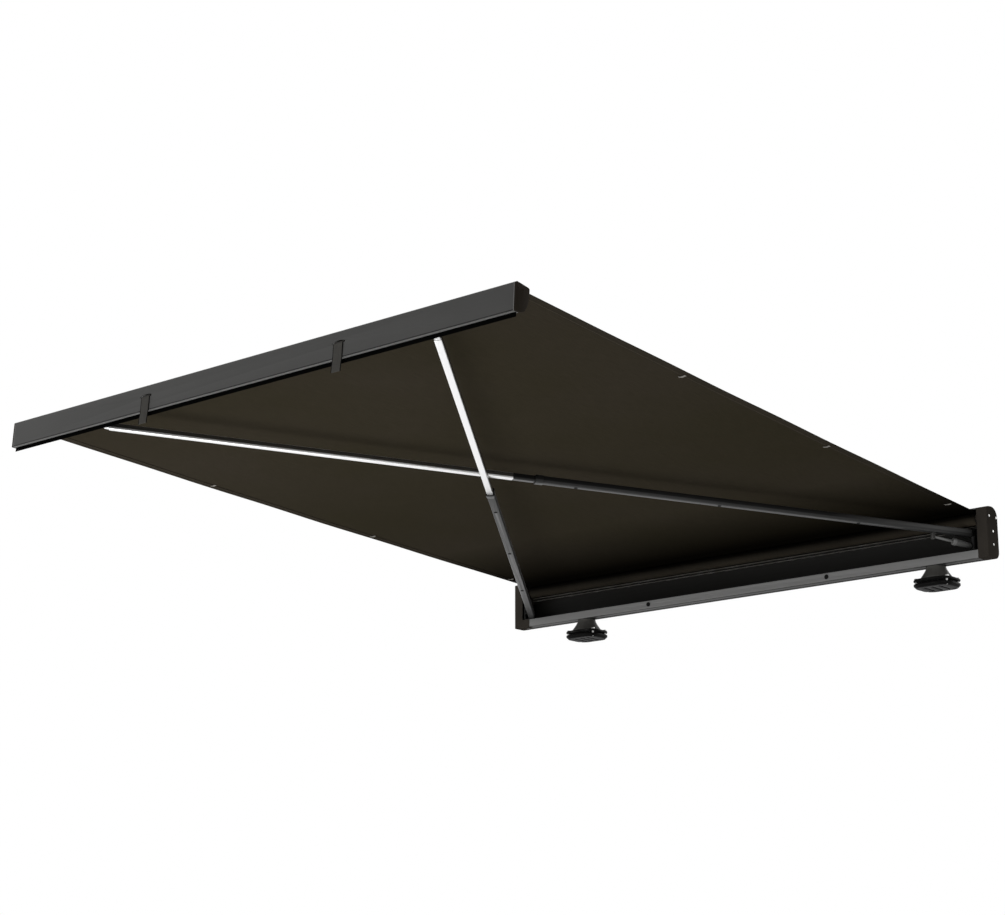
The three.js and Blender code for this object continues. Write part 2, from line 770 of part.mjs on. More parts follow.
/** Outer tube of an arm, with round buttons along its underside. */
function outerTube(arm) {
  const face = -outerSize / 2;
  const span = Math.min(leftOuterLength, rightOuterLength);
  const buttons = buttonPlaceShares.map((share) => rod(
    [share * span, 0, face + outerWall / 2], [share * span, 0, face - buttonProud], buttonRadius));
  return join(squareTube(outerSize, outerWall, outerCorner, tubeRootGap, arm.outerLength), ...buttons);
}

/** Sleeve over the mouth of the outer tube, with a lip that guides the inner one. */
function collar(arm) {
  const size = outerSize + 2 * (touchGap + collarWall);
  const from = arm.outerLength + touchGap + collarLip - collarLength;
  const to = arm.outerLength + touchGap + collarLip;
  const sleeve = prismX(roundedRectangle(size, size, outerCorner + collarWall), from, to);
  const seat = outerSize + 2 * touchGap;
  const guide = innerSize + 2 * slideGap;
  return cut(
    sleeve,
    prismX(roundedRectangle(seat, seat, outerCorner), from - overrun, arm.outerLength + touchGap),
    prismX(roundedRectangle(guide, guide, innerCorner), from - overrun, to + overrun));
}

function innerTube(arm) {
  return squareTube(
    innerSize, innerWall, innerCorner, arm.outerLength - arm.overlap, arm.length - tipSetback);
}

/** Fitting at the end of an arm: a plug in the inner tube, an eye and the pin that stands on it. */
function armTip(arm) {
  const plugSize = innerSize - 2 * (innerWall + touchGap);
  const end = arm.length - tipSetback;
  const plug = prismX(
    roundedRectangle(plugSize, plugSize, innerCorner - touchGap), end - tipPlug, arm.length);
  const shoulder = prismX(
    roundedRectangle(innerSize, innerSize, innerCorner), end + touchGap, end + tipShoulder);
  const eye = rod([arm.length, 0, -tipHeight / 2], [arm.length, 0, tipHeight / 2], tipRadius, roundSteps);
  const pinTop = webZ - touchGap - socketDrop - pivotGap - arm.tip[2];
  const pin = rod([arm.length, 0, 0], [arm.length, 0, pinTop], tipPinRadius);
  return join(plug, shoulder, eye, pin);
}

/** Bushing under the rail's web that takes an arm's tip pin, in the rail's own axes. */
function armSocket(arm) {
  const [tipX, tipY] = arm.tip;
  const screws = socketScrewPlaces(arm.tip);
  const top = webZ - touchGap;
  const flange = prismZ(
    roundedRectangle(socketLength, socketWidth, innerCorner, tipX, screws[0][1]), top - socketFlange, top);
  const boss = rod([tipX, tipY, top - socketDrop], [tipX, tipY, top - socketFlange / 2], socketBossRadius);
  const bore = rod(
    [tipX, tipY, top - socketDrop - overrun], [tipX, tipY, top - socketFlange], tipPinRadius + touchGap);
  const heads = screws.map(([x, y]) => rod(
    [x, y, top - socketFlange / 2], [x, y, top - socketFlange - socketScrewHead / 2],
    socketScrewHead, smallSteps, socketScrewRadius));
  return cut(join(flange, boss, ...heads), bore);
}

/** Bracket between the housing's end and an arm's pivot: an upright plate with two lugs. */
function armBracket(arm) {
  const { root, side } = arm;
  const plateX = bracketX - bracketPlate;
  const screws = capScrewPlaces.slice(2);
  const lugReach = bracketX - bracketPlate / 2 - Math.abs(root.x);
  const lugs = [arm.rise + touchGap, -arm.drop - touchGap - lugThickness].map((low) => {
    const lug = join(
      boxBetween([0, -lugRadius, low], [lugReach, lugRadius, low + lugThickness]),
      rod([0, 0, low], [0, 0, low + lugThickness], lugRadius, roundSteps));
    const bored = cut(lug, rod(
      [0, 0, low - overrun], [0, 0, low + lugThickness + overrun], pivotPinRadius + touchGap, roundSteps));
    const outward = new THREE.Vector3(side, 0, 0);
    outward.addScaledVector(arm.axis, -outward.dot(arm.axis)).normalize();
    const across = arm.axis.clone().cross(outward);
    return bored.applyMatrix4(new THREE.Matrix4().makeBasis(outward, across, arm.axis).setPosition(root));
  });
  const low = root.z - arm.drop - touchGap - lugThickness - bracketMargin;
  const high = Math.max(
    root.z + arm.rise + touchGap + lugThickness + bracketMargin, screws[1][1] + postRadius + bracketMargin);
  const front = Math.min(root.y - lugRadius, bracketScrewY - bracketWidth / 2);
  const upright = boxBetween([plateX, front, low], [bracketX, bracketScrewY + bracketWidth / 2, high]);
  const plate = join(upright, ...capScrews(screws));
  return join(side > 0 ? plate : mirroredX(plate), ...lugs);
}

/** Pin that an arm swings on, in the arm's own axes. */
function pivotPin(arm) {
  const top = arm.rise + touchGap + lugThickness + touchGap;
  return join(
    rod([0, 0, -arm.drop - touchGap - lugThickness - pinHeadHeight / 2], [0, 0, top + pinHeadHeight / 2],
      pivotPinRadius, roundSteps),
    rod([0, 0, top], [0, 0, top + pinHeadHeight], pinHeadRadius, roundSteps, pivotPinRadius));
}

// The strut runs in one line from the lug to the foot of the column, in the arm's X and Z
const strutStart = new THREE.Vector3(strutFrom[0], 0, strutFrom[1]);
const strutLine = new THREE.Vector3(strutTo[0], 0, strutTo[1]).sub(strutStart).normalize();

/** Point on the strut's line at a given X in the arm's axes. */
function strutPoint(x) {
  return strutStart.clone().addScaledVector(strutLine, (x - strutStart.x) / strutLine.x).toArray();
}

/** Lug under the outer tube that holds the outer end of the strut. */
function strutLug() {
  const high = -outerSize / 2 - touchGap;
  const shape = roundedRectangle(
    strutLugLength, strutLugDrop, innerCorner, strutLugX, high - strutLugDrop / 2);
  const bore = rod(
    strutPoint(strutFrom[0]), strutPoint(strutTo[0]), strutRodRadius + touchGap, roundSteps);
  return cut(prismY(shape, -strutLugWidth / 2, strutLugWidth / 2), bore);
}

function strutRod() {
  return rod(strutPoint(strutFrom[0] - touchGap), strutPoint(strutTo[0]), strutRodRadius, roundSteps);
}

/** Tapered barrel of the strut, with two rings at its wide end. */
function strutBarrel() {
  const start = new THREE.Vector3(...strutPoint(strutTo[0] - touchGap));
  const end = new THREE.Vector3(...strutPoint(columnRadius + touchGap - barrelNarrowRadius * strutLine.z));
  const ringRadius = barrelWideRadius + barrelRingProud;
  const rings = barrelRingPlaces.flatMap((place) => [
    [barrelWideRadius, place], [ringRadius, place],
    [ringRadius, place + barrelRing], [barrelWideRadius, place + barrelRing],
  ]);
  const length = end.distanceTo(start);
  const barrel = turned([
    [0, 0], [barrelWideRadius, 0], ...rings, [barrelNarrowRadius, length], [0, length],
  ]);
  const turn = new THREE.Quaternion().setFromUnitVectors(new THREE.Vector3(0, 0, 1), strutLine);
  return barrel.applyQuaternion(turn).translate(...start);
}

// Rack feet

/** Flat slab from an outline in (X, Y), with a bevel round both faces. */
function slab(shape, low, high, bevel) {
  return prismZ(shape, low + bevel, high - bevel, {
    bevelEnabled: true, bevelThickness: bevel, bevelSize: bevel, bevelOffset: -bevel, bevelSegments: 1,
  });
}

const footBoltPlaces = [[-1, -1], [1, -1], [1, 1], [-1, 1]].map(([x, y]) => [x * footBoltX, y * footBoltY]);
const plateTop = -pedestalHeight - touchGap;
const plateLow = plateTop - plateThickness;
const padTop = plateLow - touchGap;
const padLow = padTop - padThickness;
const clampTop = padLow - clampGap;
const clampLow = clampTop - clampThickness;

/** Cutting rods for the four bolts of a foot. */
function footBores(radius, low, high) {
  return footBoltPlaces.map(([x, y]) => rod([x, y, low], [x, y, high], radius));
}

function pedestal() {
  const flare = Array.from({ length: flareSteps + 1 }, (_, step) => {
    const share = step / flareSteps;
    return [
      THREE.MathUtils.lerp(neckRadius, flareRadius, share ** flareCurve),
      -THREE.MathUtils.lerp(neckHeight, pedestalHeight - flareEdge, share),
    ];
  });
  const body = turned([
    [0, -touchGap], [neckRadius, -touchGap], ...flare, [flareRadius, -pedestalHeight],
    [pedestalRecess, -pedestalHeight], [pedestalRecess, -pedestalHeight + pedestalRecessDepth],
    [0, -pedestalHeight + pedestalRecessDepth],
  ].reverse());
  return cut(body, rod([0, 0, -pedestalHeight], [0, 0, overrun], footBoltRadius + touchGap));
}

function footPlate() {
  return cut(
    slab(roundedRectangle(plateLength, plateWidth, plateCorner), plateLow, plateTop, plateBevel),
    ...footBores(footBoltRadius + touchGap, plateLow - overrun, plateTop + overrun));
}

function footPad() {
  const shape = roundedRectangle(
    plateLength - 2 * padMargin, plateWidth - 2 * padMargin, plateCorner - padMargin);
  return cut(
    prismZ(shape, padLow, padTop), ...footBores(footBoltRadius * 2, padLow - overrun, padTop + overrun));
}

/** Lower plate of a foot, with a wide bevel round its underside. */
function footClamp() {
  const shape = roundedRectangle(plateLength, plateWidth, plateCorner);
  const block = slab(shape, clampLow, clampTop + clampBevel, clampBevel);
  const above = boxBetween(
    [-plateLength, -plateWidth, clampTop], [plateLength, plateWidth, clampTop + clampBevel + overrun]);
  const slots = Array.from({ length: clampSlotCount }, (_, index) => {
    const x = (index - (clampSlotCount - 1) / 2) * clampSlotPitch;
    return prismZ(
      roundedRectangle(clampSlotWidth, clampSlotLength, clampSlotWidth / 2, x, 0),
      clampLow - overrun, clampTop + overrun);
  });
  return cut(
    block, above, ...slots, ...footBores(footBoltRadius + touchGap, clampLow - overrun, clampTop + overrun));
}

/** Bolt that draws the two halves of a foot's clamp together. */
function footBolt([x, y]) {
  const seat = plateTop + touchGap;
  return join(
    rod([x, y, clampLow + boltEndInset], [x, y, seat + boltHeadHeight / 2], footBoltRadius),
    rod([x, y, seat], [x, y, seat + boltHeadHeight], boltHeadRadius, hexSides));
}

/** Bolt whose flat head slides in the housing's lower slot and holds a foot. */
function slotBolt() {
  const low = slotLip + touchGap;
  const high = slotDepth - slotNutClearance;
  const half = slotWidth / 2 - slotNutClearance;
  return join(
    boxBetween([-slotNutLength / 2, -half, low], [slotNutLength / 2, half, high]),
    rod([0, 0, -pedestalHeight + touchGap], [0, 0, low + slotLip], footBoltRadius));
}

function slotBoltNut() {
  const top = -pedestalHeight + pedestalRecessDepth - touchGap;
  return cut(
    rod([0, 0, top - nutHeight], [0, 0, top], slotNutRadius, hexSides),
    rod([0, 0, top - nutHeight - overrun], [0, 0, top + overrun], footBoltRadius + touchGap));
}

// Assembly

const awning = new THREE.Group();
awning.position.set(0, -housingDepth, -housingHeight / 2);

const housing = new THREE.Group();
housing.add(
  piece('housing_profile', housingProfile(), greyCoat),
  piece('housing_cap_left', housingCap(-1), blackPlastic),
  piece('housing_cap_right', housingCap(1), blackPlastic),
  piece('lip_stud_left', lipStud(studXs[0]), blackPlastic),
  piece('lip_stud_right', lipStud(studXs[1]), blackPlastic),
  piece('roller_bearing_left', rollerBearing(-1), blackPlastic),
  piece('roller_bearing_right', rollerBearing(1), blackPlastic),
  piece('arm_bracket_left', armBracket(left), blackCoat),
  piece('arm_bracket_right', armBracket(right), blackCoat),
  piece('canopy', canopy(), cloth),
);

const roller = new THREE.Group();
roller.add(
  piece('roller_tube', rollerTube(), silver),
  piece('wound_canopy', woundCanopy(), cloth),
  piece('roller_plug_left', rollerPlug(-1), blackPlastic),
  piece('roller_plug_right', rollerPlug(1), blackPlastic),
);

const leadRail = new THREE.Group();
leadRail.applyMatrix4(railFrame);
leadRail.add(
  piece('rail_profile', railProfile(), greyCoat),
  piece('rail_cap_left', railCap(-1), blackPlastic),
  piece('rail_cap_right', railCap(1), blackPlastic),
  piece('strap_left', strap(-strapX), webbing),
  piece('strap_right', strap(strapX), webbing),
  piece('arm_socket_left', armSocket(left), blackPlastic),
  piece('arm_socket_right', armSocket(right), blackPlastic),
);

/** Group of one arm's pieces, placed at its root pivot. */
function armGroup(name, arm) {
  const group = new THREE.Group();
  group.applyMatrix4(arm.matrix);
  group.add(
    piece(`${name}_arm_pin`, pivotPin(arm), steel),
    piece(`${name}_arm_knuckle`, knuckle(arm), blackCoat),
    piece(`${name}_arm_outer_tube`, outerTube(arm), greyTube),
    piece(`${name}_arm_collar`, collar(arm), blackPlastic),
    piece(`${name}_arm_inner_tube`, innerTube(arm), silver),
    piece(`${name}_arm_tip`, armTip(arm), blackCoat),
  );
  return group;
}

const leftArm = armGroup('left', left);
const rightArm = armGroup('right', right);
rightArm.add(
  piece('strut_lug', strutLug(), blackCoat),
  piece('strut_rod', strutRod(), blackCoat),
  piece('strut_barrel', strutBarrel(), greyTube),
);

const feet = new THREE.Group();
[['left', leftFootX], ['right', rightFootX]].forEach(([name, x]) => {
  const foot = new THREE.Group();
  foot.position.set(x, bottomSlotY, 0);
  foot.add(
    piece(`foot_pedestal_${name}`, pedestal(), blackCoat),
    piece(`foot_plate_${name}`, footPlate(), blackCoat),
    piece(`foot_pad_${name}`, footPad(), rubber),
    piece(`foot_clamp_${name}`, footClamp(), blackCoat),
    piece(`slot_bolt_${name}`, slotBolt(), steel),
    piece(`slot_nut_${name}`, slotBoltNut(), steel),
    ...footBoltPlaces.map((place, index) => piece(`foot_bolt_${name}_${index + 1}`, footBolt(place), steel)),
  );
  feet.add(foot);
});

awning.add(housing, roller, leadRail, leftArm, rightArm, feet);

export default awning;
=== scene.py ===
"""Looks of a vehicle side awning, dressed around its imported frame.

Everything is in metres, in the frame's own axes: X runs along the housing, Y points to the
vehicle and Z points up. The origin lies in the middle of the housing's flat back.
"""
import json
import logging
import math
from dataclasses import dataclass, field, replace
from enum import Enum
from functools import reduce
from typing import Callable, Iterable, Sequence

import bmesh
import bpy
from mathutils import Matrix, Vector, noise


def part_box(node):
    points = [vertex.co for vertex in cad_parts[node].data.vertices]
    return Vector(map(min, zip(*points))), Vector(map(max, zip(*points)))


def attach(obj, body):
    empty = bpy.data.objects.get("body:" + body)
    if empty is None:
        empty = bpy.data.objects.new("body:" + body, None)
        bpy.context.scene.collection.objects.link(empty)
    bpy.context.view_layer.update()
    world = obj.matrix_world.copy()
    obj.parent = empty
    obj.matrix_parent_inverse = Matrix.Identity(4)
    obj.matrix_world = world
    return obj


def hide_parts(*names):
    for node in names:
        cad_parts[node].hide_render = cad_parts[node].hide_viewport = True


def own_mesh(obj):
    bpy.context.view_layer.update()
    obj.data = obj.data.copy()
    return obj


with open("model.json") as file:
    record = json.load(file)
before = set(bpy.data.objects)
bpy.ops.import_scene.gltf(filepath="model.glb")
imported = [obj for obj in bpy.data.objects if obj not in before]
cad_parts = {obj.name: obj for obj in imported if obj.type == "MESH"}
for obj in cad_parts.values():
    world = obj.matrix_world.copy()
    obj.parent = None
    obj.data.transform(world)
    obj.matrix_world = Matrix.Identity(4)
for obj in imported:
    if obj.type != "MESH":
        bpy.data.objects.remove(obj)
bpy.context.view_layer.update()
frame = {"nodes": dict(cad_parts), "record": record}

LOG = logging.getLogger("awning")

Point2 = tuple[float, float]
Colour = tuple[float, float, float]
Direction = tuple[float, float, float]
Seat = tuple[Vector, Vector]
Socket = bpy.types.NodeSocket
Node = bpy.types.Node

MM = 0.001
BACK_DEPTH = 76 * MM
BACK_HEIGHT = 91.5 * MM
HOUSING_HALF = 1065 * MM
REACH = 2502.4 * MM
RAIL_TOP = 332 * MM
SLIDE_ANGLE = math.radians(3.571)
ALONG_HOUSING: Direction = (1.0, 0.0, 0.0)

EDGE_MARK = "edge"
MAP_NAME = "UVMap"
MERGE_DISTANCE = 0.004 * MM
FLAT_BELOW = math.radians(0.8)
SHARP_FROM = 32.0
CLOTH_SHARP_FROM = 40.0
SEAL_SHARP_FROM = 50.0
DOWNWARD = -0.9
PARALLEL = 0.999
WHITE = (1.0, 1.0, 1.0, 1.0)
FULL: Point2 = (0.0, 1.0)
FADING: Point2 = (1.0, 0.0)
NOISE_SPAN: Point2 = (0.3, 0.7)


class Side(Enum):
    """The two ends of the awning."""

    LEFT = -1
    RIGHT = 1

    @property
    def word(self) -> str:
        """Name of the side, as nodes spell it."""
        return self.name.lower()


def middle_of(node: str) -> Vector:
    """Middle of a frame node's box at rest."""
    low, high = (Vector(corner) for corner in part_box(node))
    return (low + high) / 2


def arm_axis(side: Side) -> Direction:
    """Unit direction of an arm, from its outer tube to its inner one, by its root's side."""
    outer, inner = (middle_of(f"{side.word}_arm_{tube}_tube") for tube in ("outer", "inner"))
    return tuple((inner - outer).normalized())


def along_arm(side: Side, *distances: float) -> Point2:
    """Places on an arm as its drawn finish counts them, from distances to its root pin."""
    root = middle_of(f"{side.word}_arm_pin").dot(Vector(arm_axis(side)))
    return tuple(root + distance for distance in distances)


def across_arm(side: Side, height: float) -> float:
    """Height on an arm as its drawn finish counts it, from one over its tubes' middle."""
    turn = Vector(arm_axis(side)).rotation_difference(Vector(ALONG_HOUSING))
    return (turn @ middle_of(f"{side.word}_arm_inner_tube")).z + height


def seated(x: float, y: float, z: float) -> Vector:
    """Point in the frame, from X, depth behind the housing's front and height over its foot."""
    return Vector((x, y - BACK_DEPTH, z - BACK_HEIGHT))


def rail_point(y: float, z: float) -> Vector:
    """Point of the rail's section at X = 0, from its place behind and above the face's top."""
    turned = Matrix.Rotation(-SLIDE_ANGLE, 3, "X") @ Vector((0.0, y, z))
    return turned + seated(0.0, -REACH, RAIL_TOP)


def tinted(colour: Colour, factor: float) -> Colour:
    """A colour with each channel times a factor, up to 1."""
    return tuple(min(1.0, channel * factor) for channel in colour)


# Shader graphs


class Graph:
    """A node tree that is being wired up."""

    def __init__(self, tree: bpy.types.NodeTree) -> None:
        """Starts on the tree of a material, a world or a node group."""
        self.tree = tree

    def plug(self, socket: Socket, value: object) -> None:
        """Gives an input socket a source or a plain value.

        Args:
            socket: Input socket.
            value: Output socket that feeds it, or the value that it keeps.
        """
        if isinstance(value, Socket):
            self.tree.links.new(value, socket)
        else:
            socket.default_value = value

    def node(
        self, kind: str, inputs: dict[str | int, object] | None = None, **settings: object
    ) -> Node:
        """Adds a node.

        Args:
            kind: Type of the node, as Blender spells it after ShaderNode.
            inputs: Values or sources for its input sockets, by name or by number.
            **settings: Properties of the node.

        Returns:
            The new node.
        """
        made = self.tree.nodes.new(f"ShaderNode{kind}")
        for name, value in settings.items():
            setattr(made, name, value)
        for key, value in (inputs or {}).items():
            self.plug(made.inputs[key], value)
        return made

    def math(self, operation: str, *values: object) -> Socket:
        """Output of a Math node on numbers or sources, in order."""
        return self.node("Math", dict(enumerate(values)), operation=operation).outputs[0]

    def product(self, *factors: object) -> Socket:
        """Product of numbers or sources."""
        return reduce(lambda left, right: self.math("MULTIPLY", left, right), factors)

    def below(self, value: Socket, limit: float) -> Socket:
        """1 where a number is under a limit, and 0 elsewhere."""
        return self.math("LESS_THAN", value, limit)

    def over(self, value: Socket, limit: float) -> Socket:
        """1 where a number is over a limit, and 0 elsewhere."""
        return self.math("GREATER_THAN", value, limit)

    def away(self, value: Socket, middle: float) -> Socket:
        """Distance of a number from a middle one."""
        return self.math("ABSOLUTE", self.math("SUBTRACT", value, middle))

    def axis(self, vector: Socket, name: str) -> Socket:
        """One coordinate of a vector."""
        return self.node("SeparateXYZ", {0: vector}).outputs[name]

    def upward(self) -> Socket:
        """How much the surface faces up, from -1 to 1."""
        return self.axis(self.node("NewGeometry").outputs["Normal"], "Z")

    def mapped(self, vector: Socket, part: str, value: Direction) -> Socket:
        """A vector moved, turned or scaled, by Mapping's name for it."""
        return self.node("Mapping", {"Vector": vector, part: value}).outputs[0]

    def remap(self, value: Socket, source: Point2, target: Point2 = FULL) -> Socket:
        """A number taken from one range to another, clamped at both ends."""
        spread = dict(enumerate((value, *source, *target)))
        return self.node("MapRange", spread, clamp=True).outputs[0]

    def noise(self, vector: Socket, scale: object, detail: float) -> Socket:
        """Noise about 0.5, with so many waves to the metre and so many finer layers."""
        inputs = {"Vector": vector, "Scale": scale, "Detail": detail}
        return self.node("TexNoise", inputs).outputs[0]

    def mix(self, share: Socket, low: object, high: object) -> Socket:
        """Mixes two colours.

        Args:
            share: Share of the second colour.
            low: First colour, or its source.
            high: Second colour, or its source.

        Returns:
            The mixed colour.
        """
        made = self.node("Mix", {0: share}, data_type="RGBA")
        for socket, value in zip(made.inputs[6:8], (low, high)):
            self.plug(socket, value if isinstance(value, Socket) else (*value, 1.0))
        return made.outputs[2]


@dataclass(frozen=True)
class Effect:
    """A shader node group that several finishes share. An input of None is a vector."""

    name: str
    inputs: dict[str, float | None]
    wire: Callable[[Graph, Node], dict[str, Socket]]

    def tree(self) -> bpy.types.NodeTree:
        """Builds the group the first time, and finds it after that.

        Returns:
            The group's tree.
        """
        found = bpy.data.node_groups.get(self.name)
        if found:
            return found
        tree = bpy.data.node_groups.new(self.name, "ShaderNodeTree")
        for name, value in self.inputs.items():
            kind = "NodeSocketVector" if value is None else "NodeSocketFloat"
            socket = tree.interface.new_socket(name, in_out="INPUT", socket_type=kind)
            if value is not None:
                socket.default_value = value
        made = self.wire(Graph(tree), tree.nodes.new("NodeGroupInput"))
        for name in made:
            tree.interface.new_socket(name, in_out="OUTPUT", socket_type="NodeSocketFloat")
        out = tree.nodes.new("NodeGroupOutput")
        for name, socket in made.items():
            tree.links.new(socket, out.inputs[name])
        return tree

    def place(self, graph: Graph, **inputs: object) -> dict[str, Socket]:
        """Places the group in a material.

        Args:
            graph: Graph of the material.
            **inputs: Values or sources for the group's inputs.

        Returns:
            The group's outputs by name.
        """
        made = graph.node("Group", node_tree=self.tree())
        for name, value in inputs.items():
            graph.plug(made.inputs[name], value)
        return {socket.name: socket for socket in made.outputs}


COARSE_SHARE = 0.6
FINER = 3.7
PATCH_WAVES = 5.0
LINE_STRETCH: Direction = (0.012, 1.0, 1.0)
LINE_SPAN: Point2 = (0.35, 0.65)
RUBBED_WAVES = 38.0
RUBBED_SPAN: Point2 = (0.42, 0.62)
DUST_WAVES = 9.0
DUST_SPAN: Point2 = (0.35, 0.75)
FACING_UP: Point2 = (0.2, 1.0)
YARN_WAVES = 420.0
YARN_STRETCH: Direction = (1.0, 0.04, 1.0)
BOTH_WAYS: Point2 = (-1.0, 1.0)


def wire_grain(graph: Graph, source: Node) -> dict[str, Socket]:
    """Fine grain of a coat or a moulding, in two sizes, with slow patches of tone.

    Args:
        graph: Graph of the group.
        source: Node that holds the group's inputs.

    Returns:
        The group's outputs.
    """
    vector, scale = source.outputs["Vector"], source.outputs["Scale"]
    coarse = graph.noise(vector, scale, detail=2.0)
    fine = graph.noise(vector, graph.product(scale, FINER), detail=1.0)
    height = graph.math(
        "ADD", graph.product(coarse, COARSE_SHARE), graph.product(fine, 1.0 - COARSE_SHARE))
    patches = graph.noise(vector, PATCH_WAVES, detail=4.0)
    return {"Height": height, "Patches": graph.remap(patches, NOISE_SPAN)}


def wire_lines(graph: Graph, source: Node) -> dict[str, Socket]:
    """Fine lines that drawing through a die leaves along X.

    Args:
        graph: Graph of the group.
        source: Node that holds the group's inputs.

    Returns:
        The group's output.
    """
    stretched = graph.mapped(source.outputs["Vector"], "Scale", LINE_STRETCH)
    lines = graph.noise(stretched, source.outputs["Density"], detail=4.0)
    return {"Lines": graph.remap(lines, LINE_SPAN)}


def wire_wear(graph: Graph, source: Node) -> dict[str, Socket]:
    """Rubbed places along the edges of a piece.

    Args:
        graph: Graph of the group.
        source: Node that holds the group's inputs.

    Returns:
        The group's output.
    """
    broken = graph.noise(source.outputs["Vector"], RUBBED_WAVES, detail=5.0)
    broken = graph.remap(broken, RUBBED_SPAN)
    return {"Mask": graph.product(source.outputs["Edge"], broken, source.outputs["Amount"])}


def wire_dust(graph: Graph, source: Node) -> dict[str, Socket]:
    """Dust that settles on what faces up.

    Args:
        graph: Graph of the group.
        source: Node that holds the group's inputs.

    Returns:
        The group's output.
    """
    settled = graph.remap(graph.upward(), FACING_UP)
    broken = graph.noise(source.outputs["Vector"], DUST_WAVES, detail=6.0)
    broken = graph.remap(broken, DUST_SPAN)
    return {"Mask": graph.product(settled, broken, source.outputs["Amount"])}


def wire_weave(graph: Graph, source: Node) -> dict[str, Socket]:
    """Plain weave on a map in metres, with uneven yarns.

    Args:
        graph: Graph of the group.
        source: Node that holds the group's inputs.

    Returns:
        The group's outputs.
    """
    vector = source.outputs["Vector"]
    turns = graph.math("DIVIDE", math.pi, source.outputs["Pitch"])
    warp, weft = (graph.math("SINE", graph.product(graph.axis(vector, way), turns)) for way in "XY")
    yarns = graph.noise(graph.mapped(vector, "Scale", YARN_STRETCH), YARN_WAVES, detail=2.0)
    height = graph.remap(graph.product(warp, weft), BOTH_WAYS)
    return {"Height": height, "Yarns": graph.remap(yarns, NOISE_SPAN)}


GRAIN = Effect("Grain", {"Vector": None, "Scale": 900.0}, wire_grain)
LINES = Effect("DrawnLines", {"Vector": None, "Density": 300.0}, wire_lines)
WEAR = Effect("EdgeWear", {"Vector": None, "Edge": 0.0, "Amount": 0.5}, wire_wear)
DUST = Effect("Dust", {"Vector": None, "Amount": 0.3}, wire_dust)
WEAVE = Effect("Weave", {"Vector": None, "Pitch": 0.8 * MM}, wire_weave)


# Finishes


@dataclass(frozen=True)
class Finish:
    """What every finish has: a name, the record's slot and the shader's plain values."""

    name: str
    slot: str
    colour: Colour
    roughness: float
    metallic: float = 0.0
    specular: float = 0.5

    def material(self) -> bpy.types.Material:
        """Builds the material the first time, and finds it after that.

        Returns:
            The material.
        """
        found = bpy.data.materials.get(self.name)
        if found:
            return found
        made = bpy.data.materials.new(self.name)
        made.use_nodes = True
        made.diffuse_color = (*self.colour, 1.0)
        shader = made.node_tree.nodes["Principled BSDF"]
        shader.inputs["Base Color"].default_value = (*self.colour, 1.0)
        shader.inputs["Roughness"].default_value = self.roughness
        shader.inputs["Metallic"].default_value = self.metallic
        shader.inputs["Specular IOR Level"].default_value = self.specular
        self.dress(Graph(made.node_tree), shader)
        return made

    def dress(self, graph: Graph, shader: Node) -> None:
        """Wires the finish's own pattern into the material's Principled BSDF."""
        raise NotImplementedError

    @staticmethod
    def place(graph: Graph, lie: Direction = ALONG_HOUSING) -> Socket:
        """Place on the object in metres, with X turned along the drawn direction."""
        turn = Vector(lie).rotation_difference(Vector(ALONG_HOUSING)).to_euler("XYZ")
        return graph.mapped(graph.node("TexCoord").outputs["Object"], "Rotation", tuple(turn))

    def rough(self, graph: Graph, pattern: Socket, span: Point2, spread: Point2) -> Socket:
        """Roughness that follows a pattern, from what its span adds at each end."""
        return graph.remap(pattern, span, tuple(self.roughness + change for change in spread))

    def between(self, graph: Graph, share: Socket, factors: Point2) -> Socket:
        """The finish's colour from one factor of it to another, by a share."""
        return graph.mix(share, *(tinted(self.colour, factor) for factor in factors))

    def shaded(self, graph: Graph, share: Socket, tone: Socket, factor: float) -> Socket:
        """A tone mixed by a share with the finish's colour times a factor."""
        return graph.mix(share, tone, tinted(self.colour, factor))

    @staticmethod
    def cover(
        graph: Graph, shader: Node, tone: Socket, rough: Socket, height: Socket, depth: float
    ) -> None:
        """Feeds the shader.

        Args:
            graph: Graph of the material.
            shader: Its Principled BSDF.
            tone: Colour.
            rough: Roughness.
            height: Height of the relief, where 1 is its full depth.
            depth: That depth in metres.
        """
        bump = graph.node("Bump", {"Height": height, "Distance": depth, "Strength": 1.0})
        graph.plug(shader.inputs["Base Color"], tone)
        graph.plug(shader.inputs["Roughness"], rough)
        graph.plug(shader.inputs["Normal"], bump.outputs[0])


